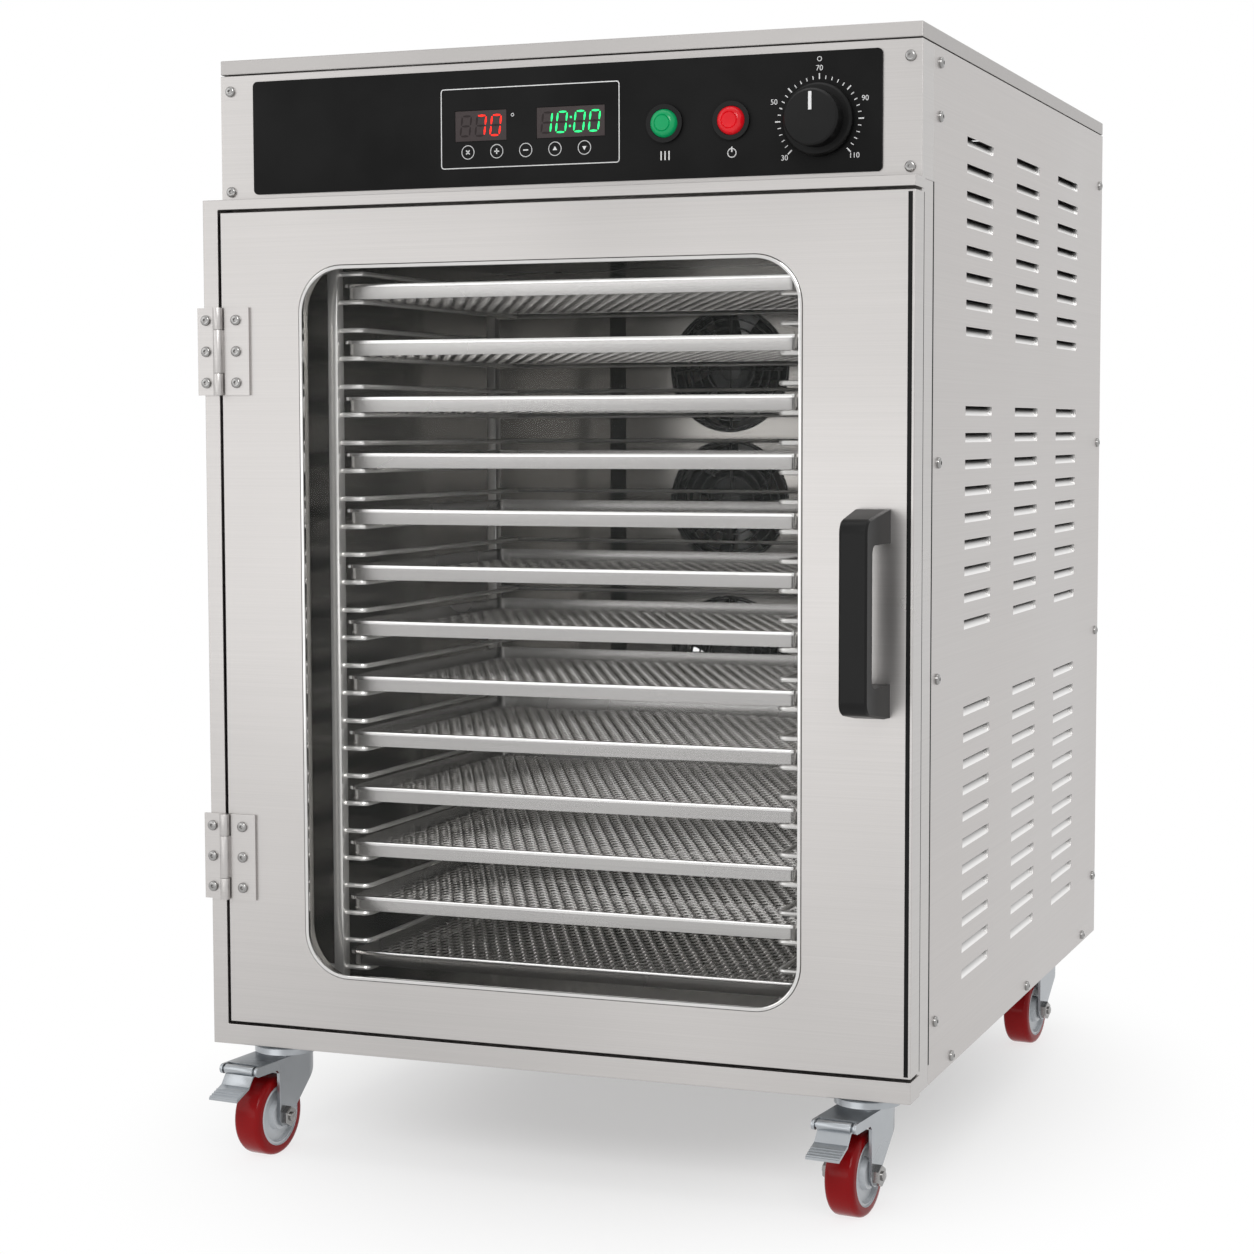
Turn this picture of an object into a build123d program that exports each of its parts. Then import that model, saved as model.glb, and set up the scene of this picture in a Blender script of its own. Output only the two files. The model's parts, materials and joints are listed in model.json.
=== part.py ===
from build123d import *
import os
from math import radians, sin

# Food dehydrator on four braked casters: a stainless cabinet with a glazed door, thirteen mesh
# trays on wire racks, three fans behind the trays and a control panel above the door.
#
# Frame: +Z up, the door faces -Y, +X is the user's right. The origin is on the floor, under the
# middle of the whole machine. Millimetres.

# ---------------------------------------------------------------- driving dimensions
SHEET = 1.2                 # stainless sheet of panels and door
FIT = 0.3                   # gap between pieces that lie against each other
RUN_FIT = 0.05              # radial clearance of a pin in its hole

CASTER_H = 92.0             # floor to the underside of the cabinet
CAB_W = 584.0               # outside of one side panel to the outside of the other
CAB_D = 704.0               # control panel face to the back panel
CAB_H = 800.0               # underside to the top of the cover

COVER_H = 11.5              # height of the top cover's skirt
SEAM = 1.0                  # open seam between neighbouring outer panels
POST_D = 33.0               # depth of the front section, ahead of the side panels
PANEL_FLANGE = 12.0         # inward fold round a side panel
BASE_PAN_H = 20.0

FRAME_T = 28.0              # how far the door frame stands out ahead of the control panel
FRAME_PROUD = 2.3           # how far the door frame stands out past the cabinet sides
STILE_W = 13.5              # hinge stile of the door frame
TOP_RAIL_H = 8.0
BOTTOM_RAIL_H = 16.6
FASCIA_H = 101.5            # control panel, from the door frame up to the top cover

CHAMBER_SIDE = 50.0         # cabinet side to the inside of the drying chamber
CHAMBER_Z0 = 38.0           # chamber floor above the cabinet's underside
CHAMBER_DROP = 34.0         # chamber ceiling below the top of the door frame
CHAMBER_D = 452.0           # control panel face to the chamber's rear wall
FAN_PANEL_W = 206.0         # raised middle panel of the rear wall
FAN_PANEL_RISE = 26.0       # how far it stands into the chamber
FAN_PANEL_SLOPE = 26.0      # width of its slanted flanks

DOOR_GAP = 2.5              # open gap between door and frame
DOOR_T = 25.0               # thickness of the door box, without its seal
WINDOW_HINGE_SIDE = 69.3    # door edge to the window opening, on each side in turn
WINDOW_FREE_SIDE = 85.3
WINDOW_SILL = 41.9
WINDOW_HEAD = 43.5
WINDOW_R = 38.0
TRIM_W = 3.0                # polished rim inside the window opening
TRIM_DEPTH = 4.0
TRIM_PROUD = 0.6
GLASS_T = 4.0
GLASS_LAP = 16.0            # glass hidden behind the door skin, all round
REVEAL_STEP = 5.0           # inner panel opening is larger than the window by this, all round
SEAL_W = 10.0
SEAL_R = 16.0
SEAL_INSET = 5.0            # seal stands outside the chamber opening by this

HINGE_H = 70.0
HINGE_UP = 136.4            # lower hinge centre above the door's lower edge
HINGE_DOWN = 110.5          # upper hinge centre below the door's upper edge
HINGE_LEAF_T = 2.4
HINGE_BARREL_R = 4.0
HINGE_PIN_R = 2.0
HINGE_REST = 0.2            # barrel stands off the door by this
LEAF_CLEAR = 0.6            # leaf plate to the other leaf's barrel
FIXED_LEAF_W = 19.5         # pin axis to the outer edge of the leaf on the stile
DOOR_LEAF_W = 27.0          # pin axis to the outer edge of the leaf on the door
KNUCKLE_SHARE = 0.5         # share of the barrel that the middle knuckle takes
HINGE_SCREW_PITCH = 25.0

HANDLE_INSET = 30.3         # door's free edge to the middle of the handle
HANDLE_LIFT = 18.7          # handle centre above the middle of the door
HANDLE_H = 154.0
HANDLE_GRIP_H = 140.0
HANDLE_OUT = 56.0
HANDLE_FOOT_W = 26.0
HANDLE_GRIP_W = 21.0
HANDLE_GRIP_T = 13.0
HANDLE_FOOT_T = 10.0        # the shoulders slope from here out to the grip
HANDLE_HOLE_H = 104.0
HANDLE_EDGE = 1.5           # bevel down both front edges of the grip

TRAY_COUNT = 13
TRAY_HEAD = 44.8            # room from the highest tray's underside to the chamber ceiling
TRAY_Z = 63.0               # underside of the lowest tray above the cabinet's underside
TRAY_W = 388.0
TRAY_D = 312.0
TRAY_H = 12.0
TRAY_FRONT = 18.0           # tray front edge behind the control panel face
TRAY_SHEET = 1.0
TRAY_RIM_W = 5.0
TRAY_RIM_H = 2.4
TRAY_CORNER_R = 9.0
TRAY_FLOOR_T = 1.6          # woven mesh floor

WIRE = 4.0                  # rack runner wire
RUNNER_IN = 20.0            # how far a runner reaches in under a tray
UPRIGHT_W = 9.0
UPRIGHT_D = 12.0
RACK_CLEAR = 2.0            # tray's side to an upright
RACK_FRONT = 14.0           # front upright behind the control panel face
RACK_REAR = 14.0            # rear upright's back behind the trays
STAY_H = 10.0               # short stays from the uprights to the liner
STAY_INSET = 2.0
RACK_FOOT = 14.0            # uprights stop this far from the chamber's ceiling and floor

FAN_DROPS = (363.0, 217.0, 95.0)   # fan centres below the chamber ceiling
FAN_SIZE = 119.0
FAN_DEPTH = 38.0
FAN_BORE = 112.0
FAN_HOLE_ROOM = 2.0         # hole in the rear wall is wider than the duct, all round
FAN_HUB_D = 44.0
FAN_BLADES = 7
FAN_BLADE_CLEAR = 2.0
GUARD_BAR = 2.0
BAR_ROOT = 1.0              # bars and struts run this far into the frame
GUARD_DISC_D = 36.0
GUARD_RINGS = (39.0,)       # ring radii of the finger guard
GUARD_SPOKES = 2            # bars that run right across it
FAN_STUB_R = 4.0            # fixed shaft that the impeller turns on
FAN_STUB_L = 22.0
FAN_FRONT_GAP = 3.0         # guard to the impeller
FAN_BACK_GAP = 2.0          # impeller to the motor plate
FAN_HUB_CAP = 4.0
FAN_BLADE_ROOT = 3.0        # blades start this far inside the hub
FAN_BLADE_T = 2.0
FAN_BLADE_W = 26.0
FAN_BLADE_TILT = 48.0
FAN_STRUT_W = 6.0
FAN_BACK_T = 3.0            # thickness of the struts and motor plate behind

HEATER_STRIP_W = 30.0
HEATER_STRIP_T = 8.0
HEATER_FIN_W = 56.0
HEATER_FINS = 10
HEATER_BACK = 74.0          # strip behind the fan panel
HEATER_LIP_H = 12.0
HEATER_CLEAR = 8.0          # fan housings to the heater's shelves
HEATER_SHELF_T = 2.0

OVERLAY_SIDE = 30.0         # cabinet side to the overlay's end
OVERLAY_H = 90.0
OVERLAY_T = 1.5
WINDOW_LIFT = 1.75          # display windows above the middle of the control panel
TEMP_INSET = 323.5          # overlay's right end to the middle of each control
TIME_INSET = 248.0
BOARD_INSET = 282.5
LAMP_INSET = 170.5
POWER_INSET = 117.0
KNOB_INSET = 48.5
TEMP_WINDOW_W = 44.0
TIME_WINDOW_W = 57.0
DISPLAY_H = 24.0
BOARD_W = 150.0
BOARD_H = 66.0
BOARD_T = 1.6
BOARD_BACK = 6.0            # spacers between the control panel and the board
BOARD_DROP = 8.0            # board's middle below the display windows
SPACER_W = 6.0
SPACER_INSET = 7.0          # board's edge to a spacer
LAMP_DROP = 3.25            # lamps below the middle of the control panel
KNOB_DROP = 5.75
LAMP_D = 22.0
BEZEL_D = 29.0
BEZEL_OUT = 3.0
LAMP_OUT = 8.0
LAMP_DEPTH = 11.0           # lens behind the overlay's face
LAMP_BEVEL = 3.0
BEZEL_DEPTH = 24.0          # collar behind the overlay's face
BEZEL_FLOOR = 3.0
BUTTON_TRAVEL = 3.0
KNOB_D = 54.0
KNOB_TOP_D = 42.0
KNOB_BASE_H = 8.0
KNOB_H = 24.0
KNOB_CAP = 8.0              # solid front of the knob, ahead of the shaft's end
KNOB_BEVEL = 1.6
POINTER_W = 2.4
POINTER_L = 13.0
POINTER_RISE = 0.6
SHAFT_D = 6.0
SHAFT_ROOM = 2.0            # hole in the panel is wider than the shaft, all round
THERMOSTAT_W = 34.0
THERMOSTAT_H = 42.0
THERMOSTAT_D = 22.0

LOUVRE_L = 93.0
LOUVRE_H = 9.0
LOUVRE_IN = 6.5             # a louvre's flap is pressed in by this at its upper edge
LOUVRE_SKIN = 0.9
LOUVRE_PITCH = 21.2
LOUVRE_COUNTS = (11, 9, 8)  # louvres in the low, middle and high group of each column
LOUVRE_LOW = 170.5          # lowest group's centre above the cabinet's underside
LOUVRE_HIGH = 148.0         # highest group's centre below the top of the cabinet
LOUVRE_MID_LIFT = 19.25     # middle group's centre above halfway between those two
LOUVRE_FRONT = 186.0        # first column's centre behind the control panel face
LOUVRE_REAR = 167.0         # last column's centre ahead of the back panel
LOUVRE_MID_BACK = 3.5       # middle column's centre behind halfway between those two

BACK_SLOT_H = 4.5           # plain vent slots in the back panel
BACK_SLOT_X = 90.0
BACK_SLOT_LOW = 250.0       # lowest slot of the low group above the underside
BACK_SLOT_HIGH = 160.0      # lowest slot of the high group below the top
BACK_SLOTS = range(5)

SCREW_HEAD_D = 8.6
SCREW_HEAD_H = 2.6
SCREW_SIDES = 8             # a screw head is small, so its round edge is a plain polygon
SCREW_PANEL_IN = 9.0        # the control panel's corner screws
SCREW_PANEL_DOWN = 12.5
SCREW_PANEL_UP = 8.5
SCREW_UP_FRONT = (46.0, 311.0, 476.0)   # front row of a side panel, above the underside
SCREW_DOWN_FRONT = (64.0, 24.0)         # the same row, below the top of the cabinet
SCREW_UP_REAR = (58.0, 303.0, 488.0)
SCREW_DOWN_REAR = (62.0,)
SCREW_UP_BACK = (20.0, 400.0)
SCREW_DOWN_BACK = (30.0,)
SCREW_EDGE_FRONT = 20.0     # panel edge to a row of screws
SCREW_EDGE_REAR = 14.0
SCREW_EDGE_LOW = 7.0
SCREW_EDGE_BACK = 12.0
SCREW_LOW_FRONT = (107.0, 387.0)        # lower row, behind the control panel face
SCREW_LOW_REAR = 64.0                   # last one of that row, ahead of the back panel

CASTER_INSET = 42.0         # swivel axes inside the cabinet sides
CASTER_FRONT = 14.0         # front swivel axes behind the control panel face
CASTER_REAR = 84.0          # rear swivel axes ahead of the back panel
CASTER_YAW = 6.0            # the casters stand turned by this many degrees
WHEEL_D = 66.0
WHEEL_W = 24.0
CORE_D = 50.0
CORE_BOSS_D = 15.0
CORE_T = 16.0               # the core is narrower than the tyre, and its boss wider
AXLE_D = 8.0
NUT_R = 7.0
NUT_H = 4.0
AXLE_WALL = 5.0             # steel round the axle hole of a fork cheek
TRAIL = 28.0                # axle ahead of the swivel axis
PLATE_SIZE = 60.0
PLATE_T = 2.5
RACE_D = 40.0
RACE_H = 3.2
HEAD_D = 52.0
HEAD_H = 5.0
HEAD_LIP = 1.0              # head stands out past the back of the fork
KING_PIN_D = 10.0
KING_NUT_R = 8.0
RIVET_H = 2.0               # nut under the swivel head, on the king pin
FORK_W = 36.0
FORK_T = 2.5
BRAKE_PIN_OUT = 66.0        # brake pedal pin ahead of the swivel axis
BRAKE_PIN_D = 4.0
PIN_GAP_L = 10.0            # the fork's roof stops this far behind the ends of its arms
ARM_H = 8.0                 # depth of the fork arms that carry the pedal
ARM_GUSSET = 3.0            # slanted corner between an arm and its leg
PEDAL_W = 27.0
PEDAL_T = 2.0
PEDAL_PATH = ((1.0, 2.0), (8.0, 11.0), (13.0, 13.0), (25.0, 18.0))   # out and down from its pin
PEDAL_RIBS = 4
PEDAL_RIB = 1.2

GLAND_OUT = 9.0
GLAND_D = 22.0
GLAND_HEX_H = 4.0
GLAND_COLLAR_D = 16.0
GLAND_BORE = 9.0
GLAND_NECK_D = 15.0
GLAND_NECK_L = 12.0         # neck inside the cabinet
GLAND_INSET = 70.0          # cable gland inside the cabinet side
GLAND_Z = 120.0

# ---------------------------------------------------------------- derived places
FACE_Y = -(CAB_D + GLAND_OUT - FRAME_T - HANDLE_OUT) / 2     # control panel face
BACK_Y = FACE_Y + CAB_D
FRONT_Y = FACE_Y - FRAME_T                                   # door frame and door front
BASE_Z = CASTER_H
TOP_Z = BASE_Z + CAB_H
COVER_Z = TOP_Z - COVER_H                                    # lower edge of the cover's skirt
PANEL_TOP = COVER_Z - SEAM
FRAME_X = CAB_W / 2 + FRAME_PROUD
DOOR_FRAME_TOP = PANEL_TOP - FASCIA_H
DOOR_X0 = -FRAME_X + STILE_W + DOOR_GAP
DOOR_X1 = FRAME_X
DOOR_Z0 = BASE_Z + BOTTOM_RAIL_H + DOOR_GAP
DOOR_Z1 = DOOR_FRAME_TOP - TOP_RAIL_H - DOOR_GAP
DOOR_BACK = FRONT_Y + DOOR_T
DOOR_MID_Z = (DOOR_Z0 + DOOR_Z1) / 2
WINDOW_W = DOOR_X1 - DOOR_X0 - WINDOW_HINGE_SIDE - WINDOW_FREE_SIDE
WINDOW_H = DOOR_Z1 - DOOR_Z0 - WINDOW_SILL - WINDOW_HEAD
WINDOW_X = (DOOR_X0 + WINDOW_HINGE_SIDE + DOOR_X1 - WINDOW_FREE_SIDE) / 2
WINDOW_Z = (DOOR_Z0 + WINDOW_SILL + DOOR_Z1 - WINDOW_HEAD) / 2
HANDLE_X = DOOR_X1 - HANDLE_INSET
HANDLE_Z = DOOR_MID_Z + HANDLE_LIFT
HINGE_Z = (DOOR_Z0 + HINGE_UP, DOOR_Z1 - HINGE_DOWN)
CHAMBER_W = CAB_W - 2 * CHAMBER_SIDE
CHAMBER_LOW = BASE_Z + CHAMBER_Z0
CHAMBER_HIGH = DOOR_FRAME_TOP - CHAMBER_DROP
TRAY_PITCH = (CHAMBER_HIGH - BASE_Z - TRAY_Z - TRAY_HEAD) / (TRAY_COUNT - 1)
FAN_Z = tuple(CHAMBER_HIGH - drop for drop in FAN_DROPS)
CONTROL_Z = DOOR_FRAME_TOP + FASCIA_H / 2                      # middle of the control panel
OVERLAY_W = CAB_W - 2 * OVERLAY_SIDE
DISPLAY_Z = CONTROL_Z + WINDOW_LIFT
BUTTON_Z = CONTROL_Z - LAMP_DROP
KNOB_Z = CONTROL_Z - KNOB_DROP
LAMP_X = OVERLAY_W / 2 - LAMP_INSET
POWER_X = OVERLAY_W / 2 - POWER_INSET
KNOB_X = OVERLAY_W / 2 - KNOB_INSET
BOARD_X = OVERLAY_W / 2 - BOARD_INSET
WINDOWS = ((OVERLAY_W / 2 - TEMP_INSET, TEMP_WINDOW_W), (OVERLAY_W / 2 - TIME_INSET, TIME_WINDOW_W))
CASTER_X = CAB_W / 2 - CASTER_INSET
GLAND_X = GLAND_INSET - CAB_W / 2
HINGE_X = -FRAME_X + STILE_W + DOOR_GAP / 2
HINGE_Y = FRONT_Y - HINGE_BARREL_R - HINGE_REST
CHAMBER_BACK = FACE_Y + CHAMBER_D
FAN_PANEL_Y = CHAMBER_BACK - FAN_PANEL_RISE                  # chamber side of the fan panel
FAN_Y = FAN_PANEL_Y + SHEET + FIT                            # front of the fan housings
TRAY_Y = FACE_Y + TRAY_FRONT
FORK_TOP = CASTER_H - PLATE_T - RACE_H - FIT - HEAD_H          # underside of the swivel head
BRAKE_PIN_Z = FORK_TOP - ARM_H / 2                             # middle of the fork's arms
RUNNER_DROP = WIRE + FIT                                     # runner's underside below its tray


def block(x0, x1, y0, y1, z0, z1):
    """A box between two corners, taken in either order."""
    box = Box(abs(x1 - x0), abs(y1 - y0), abs(z1 - z0))
    return Pos((x0 + x1) / 2, (y0 + y1) / 2, (z0 + z1) / 2) * box


def rod(x, y, z, radius, length, direction):
    """A cylinder that starts at a point and runs along a direction."""
    disc = Plane((x, y, z), z_dir=direction) * Circle(radius)
    return extrude(disc, amount=length, dir=Vector(*direction))


def upright_plate(x, z, width, height, y0, y1, radius=0.0):
    """A plate in the XZ plane with rounded corners, between two depths."""
    plane = Plane((x, y0, z), x_dir=(1, 0, 0), z_dir=(0, 1, 0))
    outline = RectangleRounded(width, height, radius) if radius else Rectangle(width, height)
    return extrude(plane * outline, amount=y1 - y0)


def flat_ring(x, z, width, height, band, y0, y1, radius):
    """A rounded rectangular ring in the XZ plane, measured over its outside."""
    outer = upright_plate(x, z, width, height, y0, y1, radius)
    inner = upright_plate(x, z, width - 2 * band, height - 2 * band, y0, y1, radius - band)
    return outer - inner


def screw(x, y, z, direction):
    """A button-head screw whose head rests on the point, looking along the direction."""
    head_plane = Plane((x, y, z), z_dir=direction)
    return extrude(head_plane * RegularPolygon(SCREW_HEAD_D / 2, SCREW_SIDES), amount=SCREW_HEAD_H, taper=28)


# ---------------------------------------------------------------- cabinet
def front_frame():
    """Front ring round the chamber mouth, with the door frame's stile and two rails on it."""
    top = DOOR_FRAME_TOP
    half = CAB_W / 2
    mouth = CHAMBER_W / 2
    low = CHAMBER_LOW
    high = CHAMBER_HIGH
    back = FACE_Y + POST_D
    inner = FACE_Y + SHEET
    ring = block(-half, half, FACE_Y, back, BASE_Z, top)
    ring_core = block(-half + SHEET, half - SHEET, inner, back, BASE_Z + SHEET, top - SHEET)
    mouth_wall = block(-mouth - SHEET, mouth + SHEET, FACE_Y, back, low - SHEET, high + SHEET)
    mouth_hole = block(-mouth, mouth, FACE_Y, back, low, high)
    frame = ring - ring_core + mouth_wall - mouth_hole
    bars = ((-FRAME_X, -FRAME_X + STILE_W, BASE_Z, top),
            (-FRAME_X, FRAME_X, top - TOP_RAIL_H, top),
            (-FRAME_X, FRAME_X, BASE_Z, BASE_Z + BOTTOM_RAIL_H))
    for x0, x1, z0, z1 in bars:
        frame += block(x0, x1, FRONT_Y, FACE_Y, z0, z1)
    for x0, x1, z0, z1 in bars:
        core_x0 = max(x0, -half) + SHEET
        core_x1 = min(x1, half) - SHEET
        frame -= block(core_x0, core_x1, FRONT_Y + SHEET, inner, z0 + SHEET, z1 - SHEET)
    return frame


def louvre_places(side):
    """Middle of each louvre's lower edge on a side panel."""
    first = FACE_Y + LOUVRE_FRONT
    last = BACK_Y - LOUVRE_REAR
    low = BASE_Z + LOUVRE_LOW
    high = TOP_Z - LOUVRE_HIGH
    centres = (low, (low + high) / 2 + LOUVRE_MID_LIFT, high)
    for y in (first, (first + last) / 2 + LOUVRE_MID_BACK, last):
        for centre, count in zip(centres, LOUVRE_COUNTS):
            for i in range(count):
                rise = (i - (count - 1) / 2) * LOUVRE_PITCH
                yield side * CAB_W / 2, y, centre + rise - LOUVRE_H / 2


def wedge(side, x, y, z, length, height, depth):
    """A louvre's pocket: flush at its lower edge and pressed in by its depth at the open upper one."""
    plane = Plane((x, y + side * length / 2, z), x_dir=(side, 0, 0), z_dir=(0, -side, 0))
    section = make_face(Polyline((0, 0), (0, height), (-depth, height), close=True))
    return extrude(plane * section, amount=length)


def side_panel(side):
    """A folded side panel with three columns of louvres, pressed in and open at their upper edge."""
    x_out = side * CAB_W / 2
    x_in = side * (CAB_W / 2 - PANEL_FLANGE)
    x_skin = side * (CAB_W / 2 - SHEET)
    y0 = FACE_Y + POST_D + SEAM
    y1 = BACK_Y - SHEET
    pan = block(x_in, x_out, y0, y1, BASE_Z, PANEL_TOP)
    hollow = block(x_in, x_skin, y0 + SHEET, y1 - SHEET, BASE_Z + SHEET, PANEL_TOP - SHEET)
    lip = LOUVRE_SKIN * LOUVRE_H / LOUVRE_IN
    pockets = []
    throats = []
    for x, y, z in louvre_places(side):
        pockets.append(wedge(side, x, y, z, LOUVRE_L, LOUVRE_H, LOUVRE_IN))
        throats.append(wedge(side, x, y, z + lip, LOUVRE_L - 2 * LOUVRE_SKIN, LOUVRE_H - lip,
                             LOUVRE_IN - LOUVRE_SKIN))
    return (pan - hollow).fuse(*pockets).cut(*throats)


def back_panel():
    """The flat back, with two groups of vent slots and the hole for the cable gland."""
    plate = block(-CAB_W / 2, CAB_W / 2, BACK_Y - SHEET, BACK_Y, BASE_Z, PANEL_TOP)
    slots = []
    for z in (BASE_Z + BACK_SLOT_LOW, TOP_Z - BACK_SLOT_HIGH):
        for i in BACK_SLOTS:
            for x in (-BACK_SLOT_X, BACK_SLOT_X):
                slots.append(upright_plate(x, z + i * LOUVRE_PITCH, LOUVRE_L, BACK_SLOT_H,
                                           BACK_Y - SHEET, BACK_Y))
    gland_hole = rod(GLAND_X, BACK_Y - SHEET, BASE_Z + GLAND_Z, GLAND_NECK_D / 2 + FIT,
                     SHEET, (0, 1, 0))
    return plate.cut(*slots, gland_hole)


def cable_gland():
    """The bush that a mains lead passes through: a hexagon and a collar outside, a neck inside."""
    z = BASE_Z + GLAND_Z
    neck_y = BACK_Y - GLAND_NECK_L
    face = Plane((GLAND_X, BACK_Y, z), z_dir=(0, 1, 0))
    hexagon = extrude(face * RegularPolygon(GLAND_D / 2, 6), amount=GLAND_HEX_H)
    collar = rod(GLAND_X, BACK_Y, z, GLAND_COLLAR_D / 2, GLAND_OUT, (0, 1, 0))
    neck = rod(GLAND_X, neck_y, z, GLAND_NECK_D / 2, GLAND_NECK_L, (0, 1, 0))
    bore = rod(GLAND_X, neck_y, z, GLAND_BORE / 2, GLAND_NECK_L + GLAND_OUT, (0, 1, 0))
    return hexagon + collar + neck - bore


def top_cover():
    """A shallow pan turned over the cabinet, on two webs that rest on the side panels' folds."""
    pan = block(-CAB_W / 2, CAB_W / 2, FACE_Y, BACK_Y, COVER_Z, TOP_Z)
    hollow = block(-CAB_W / 2 + SHEET, CAB_W / 2 - SHEET, FACE_Y + SHEET, BACK_Y - SHEET,
                   COVER_Z, TOP_Z - SHEET)
    cover = pan - hollow
    for side in (-1, 1):
        x = side * (CAB_W / 2 - PANEL_FLANGE / 2)
        cover += block(x - SHEET / 2, x + SHEET / 2, FACE_Y + POST_D + SEAM, BACK_Y - 2 * SHEET,
                       PANEL_TOP, TOP_Z - SHEET)
    return cover


def base_pan():
    """The floor that the casters bolt to: a pan behind the front ring."""
    x = CAB_W / 2 - PANEL_FLANGE - FIT
    pan = block(-x, x, FACE_Y + POST_D, BACK_Y - SHEET, BASE_Z, BASE_Z + BASE_PAN_H)
    hollow = block(-x + SHEET, x - SHEET, FACE_Y + POST_D + SHEET, BACK_Y - 2 * SHEET,
                   BASE_Z + SHEET, BASE_Z + BASE_PAN_H)
    return pan - hollow


def chamber_liner():
    """The open-ended box round the trays."""
    y0 = FACE_Y + POST_D
    outer = block(-CHAMBER_W / 2 - SHEET, CHAMBER_W / 2 + SHEET, y0, CHAMBER_BACK,
                  CHAMBER_LOW - SHEET, CHAMBER_HIGH + SHEET)
    inner = block(-CHAMBER_W / 2, CHAMBER_W / 2, y0, CHAMBER_BACK,
                  CHAMBER_LOW, CHAMBER_HIGH)
    return outer - inner


def fan_wall():
    """The chamber's rear wall, folded forward in the middle, with a round hole for each fan."""
    half = CHAMBER_W / 2 + SHEET
    rise_in = FAN_PANEL_W / 2
    rise_out = rise_in + FAN_PANEL_SLOPE
    y0 = CHAMBER_BACK
    y1 = FAN_PANEL_Y
    front = [(-half, y0), (-rise_out, y0), (-rise_in, y1), (rise_in, y1), (rise_out, y0), (half, y0)]
    back = [(x, y + SHEET) for x, y in reversed(front)]
    section = make_face(Polyline(*front, *back, close=True))
    z0 = CHAMBER_LOW + FIT
    wall = extrude(Plane.XY.offset(z0) * section, amount=CHAMBER_HIGH - CHAMBER_LOW - 2 * FIT)
    holes = [rod(0, y1, z, FAN_BORE / 2 + FAN_HOLE_ROOM, SHEET, (0, 1, 0)) for z in FAN_Z]
    return wall.cut(*holes)


# ---------------------------------------------------------------- controls
def control_fascia():
    """The control panel: a pan whose sides fold back to the side panels."""
    z0 = DOOR_FRAME_TOP
    pan = block(-CAB_W / 2, CAB_W / 2, FACE_Y, FACE_Y + POST_D, z0, PANEL_TOP)
    hollow = block(-CAB_W / 2 + SHEET, CAB_W / 2 - SHEET, FACE_Y + SHEET, FACE_Y + POST_D,
                   z0 + SHEET, PANEL_TOP - SHEET)
    windows = [control_window(x, w) for x, w in WINDOWS]
    return (pan - hollow).cut(*windows, *control_holes(FIT))


def control_window(x, width):
    """The opening for one display, through the overlay and the panel behind it."""
    return upright_plate(x, DISPLAY_Z, width, DISPLAY_H, FACE_Y - OVERLAY_T, FACE_Y + SHEET)


def control_holes(gap):
    """The round holes for the lamp, the power button and the knob's shaft."""
    depth = OVERLAY_T + SHEET
    y = FACE_Y - OVERLAY_T
    radius = LAMP_D / 2 + SHEET + gap
    return [rod(LAMP_X, y, BUTTON_Z, radius, depth, (0, 1, 0)),
            rod(POWER_X, y, BUTTON_Z, radius, depth, (0, 1, 0)),
            rod(KNOB_X, y, KNOB_Z, SHAFT_D / 2 + SHAFT_ROOM, depth, (0, 1, 0))]


def control_overlay():
    """The dark label plate of the control panel."""
    plate = upright_plate(0, CONTROL_Z, OVERLAY_W, OVERLAY_H, FACE_Y - OVERLAY_T, FACE_Y, 4)
    windows = [control_window(x, w) for x, w in WINDOWS]
    return plate.cut(*windows, *control_holes(FIT))


def display_module():
    """The controller board with its two display blocks, which stand in the windows."""
    board_y = FACE_Y + SHEET + BOARD_BACK
    board_z = DISPLAY_Z - BOARD_DROP
    module = upright_plate(BOARD_X, board_z, BOARD_W, BOARD_H, board_y, board_y + BOARD_T)
    for x, width in WINDOWS:
        module += upright_plate(x, DISPLAY_Z, width - 2 * FIT, DISPLAY_H - 2 * FIT,
                                FACE_Y - OVERLAY_T + FIT, board_y)
    for side in (-1, 1):
        for up in (-1, 1):
            x = BOARD_X + side * (BOARD_W / 2 - SPACER_INSET)
            z = board_z + up * (BOARD_H / 2 - SPACER_INSET)
            module += upright_plate(x, z, SPACER_W, SPACER_W, FACE_Y + SHEET, board_y)
    return module


def lamp_bezels():
    """The two collars that hold the lamp and the power button."""
    y = FACE_Y - OVERLAY_T
    collars = []
    for x in (LAMP_X, POWER_X):
        flange = rod(x, y - BEZEL_OUT, BUTTON_Z, BEZEL_D / 2, BEZEL_OUT, (0, 1, 0))
        barrel = rod(x, y, BUTTON_Z, LAMP_D / 2 + SHEET, BEZEL_DEPTH, (0, 1, 0))
        bore = rod(x, y - BEZEL_OUT, BUTTON_Z, LAMP_D / 2,
                   BEZEL_OUT + BEZEL_DEPTH - BEZEL_FLOOR, (0, 1, 0))
        collars.append(flange + barrel - bore)
    return collars


def front_chamfer(body, size):
    """Chamfer round the round front face of a knob or a lens."""
    return chamfer(body.faces().sort_by(Axis.Y)[0].edges(), size)


def lamp_cap(x, gap):
    """A lens that fills its collar with a gap and stands out ahead of it."""
    y = FACE_Y - OVERLAY_T - LAMP_OUT
    cap = rod(x, y, BUTTON_Z, LAMP_D / 2 - gap, LAMP_OUT + LAMP_DEPTH, (0, 1, 0))
    return front_chamfer(cap, LAMP_BEVEL)


def thermostat():
    """The thermostat behind the panel, with the shaft that the knob turns on."""
    y = FACE_Y + SHEET
    tip = FACE_Y - OVERLAY_T - KNOB_H + KNOB_CAP
    body = upright_plate(KNOB_X, KNOB_Z, THERMOSTAT_W, THERMOSTAT_H, y, y + THERMOSTAT_D)
    shaft = rod(KNOB_X, tip, KNOB_Z, SHAFT_D / 2, y - tip, (0, 1, 0))
    return body + shaft


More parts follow.
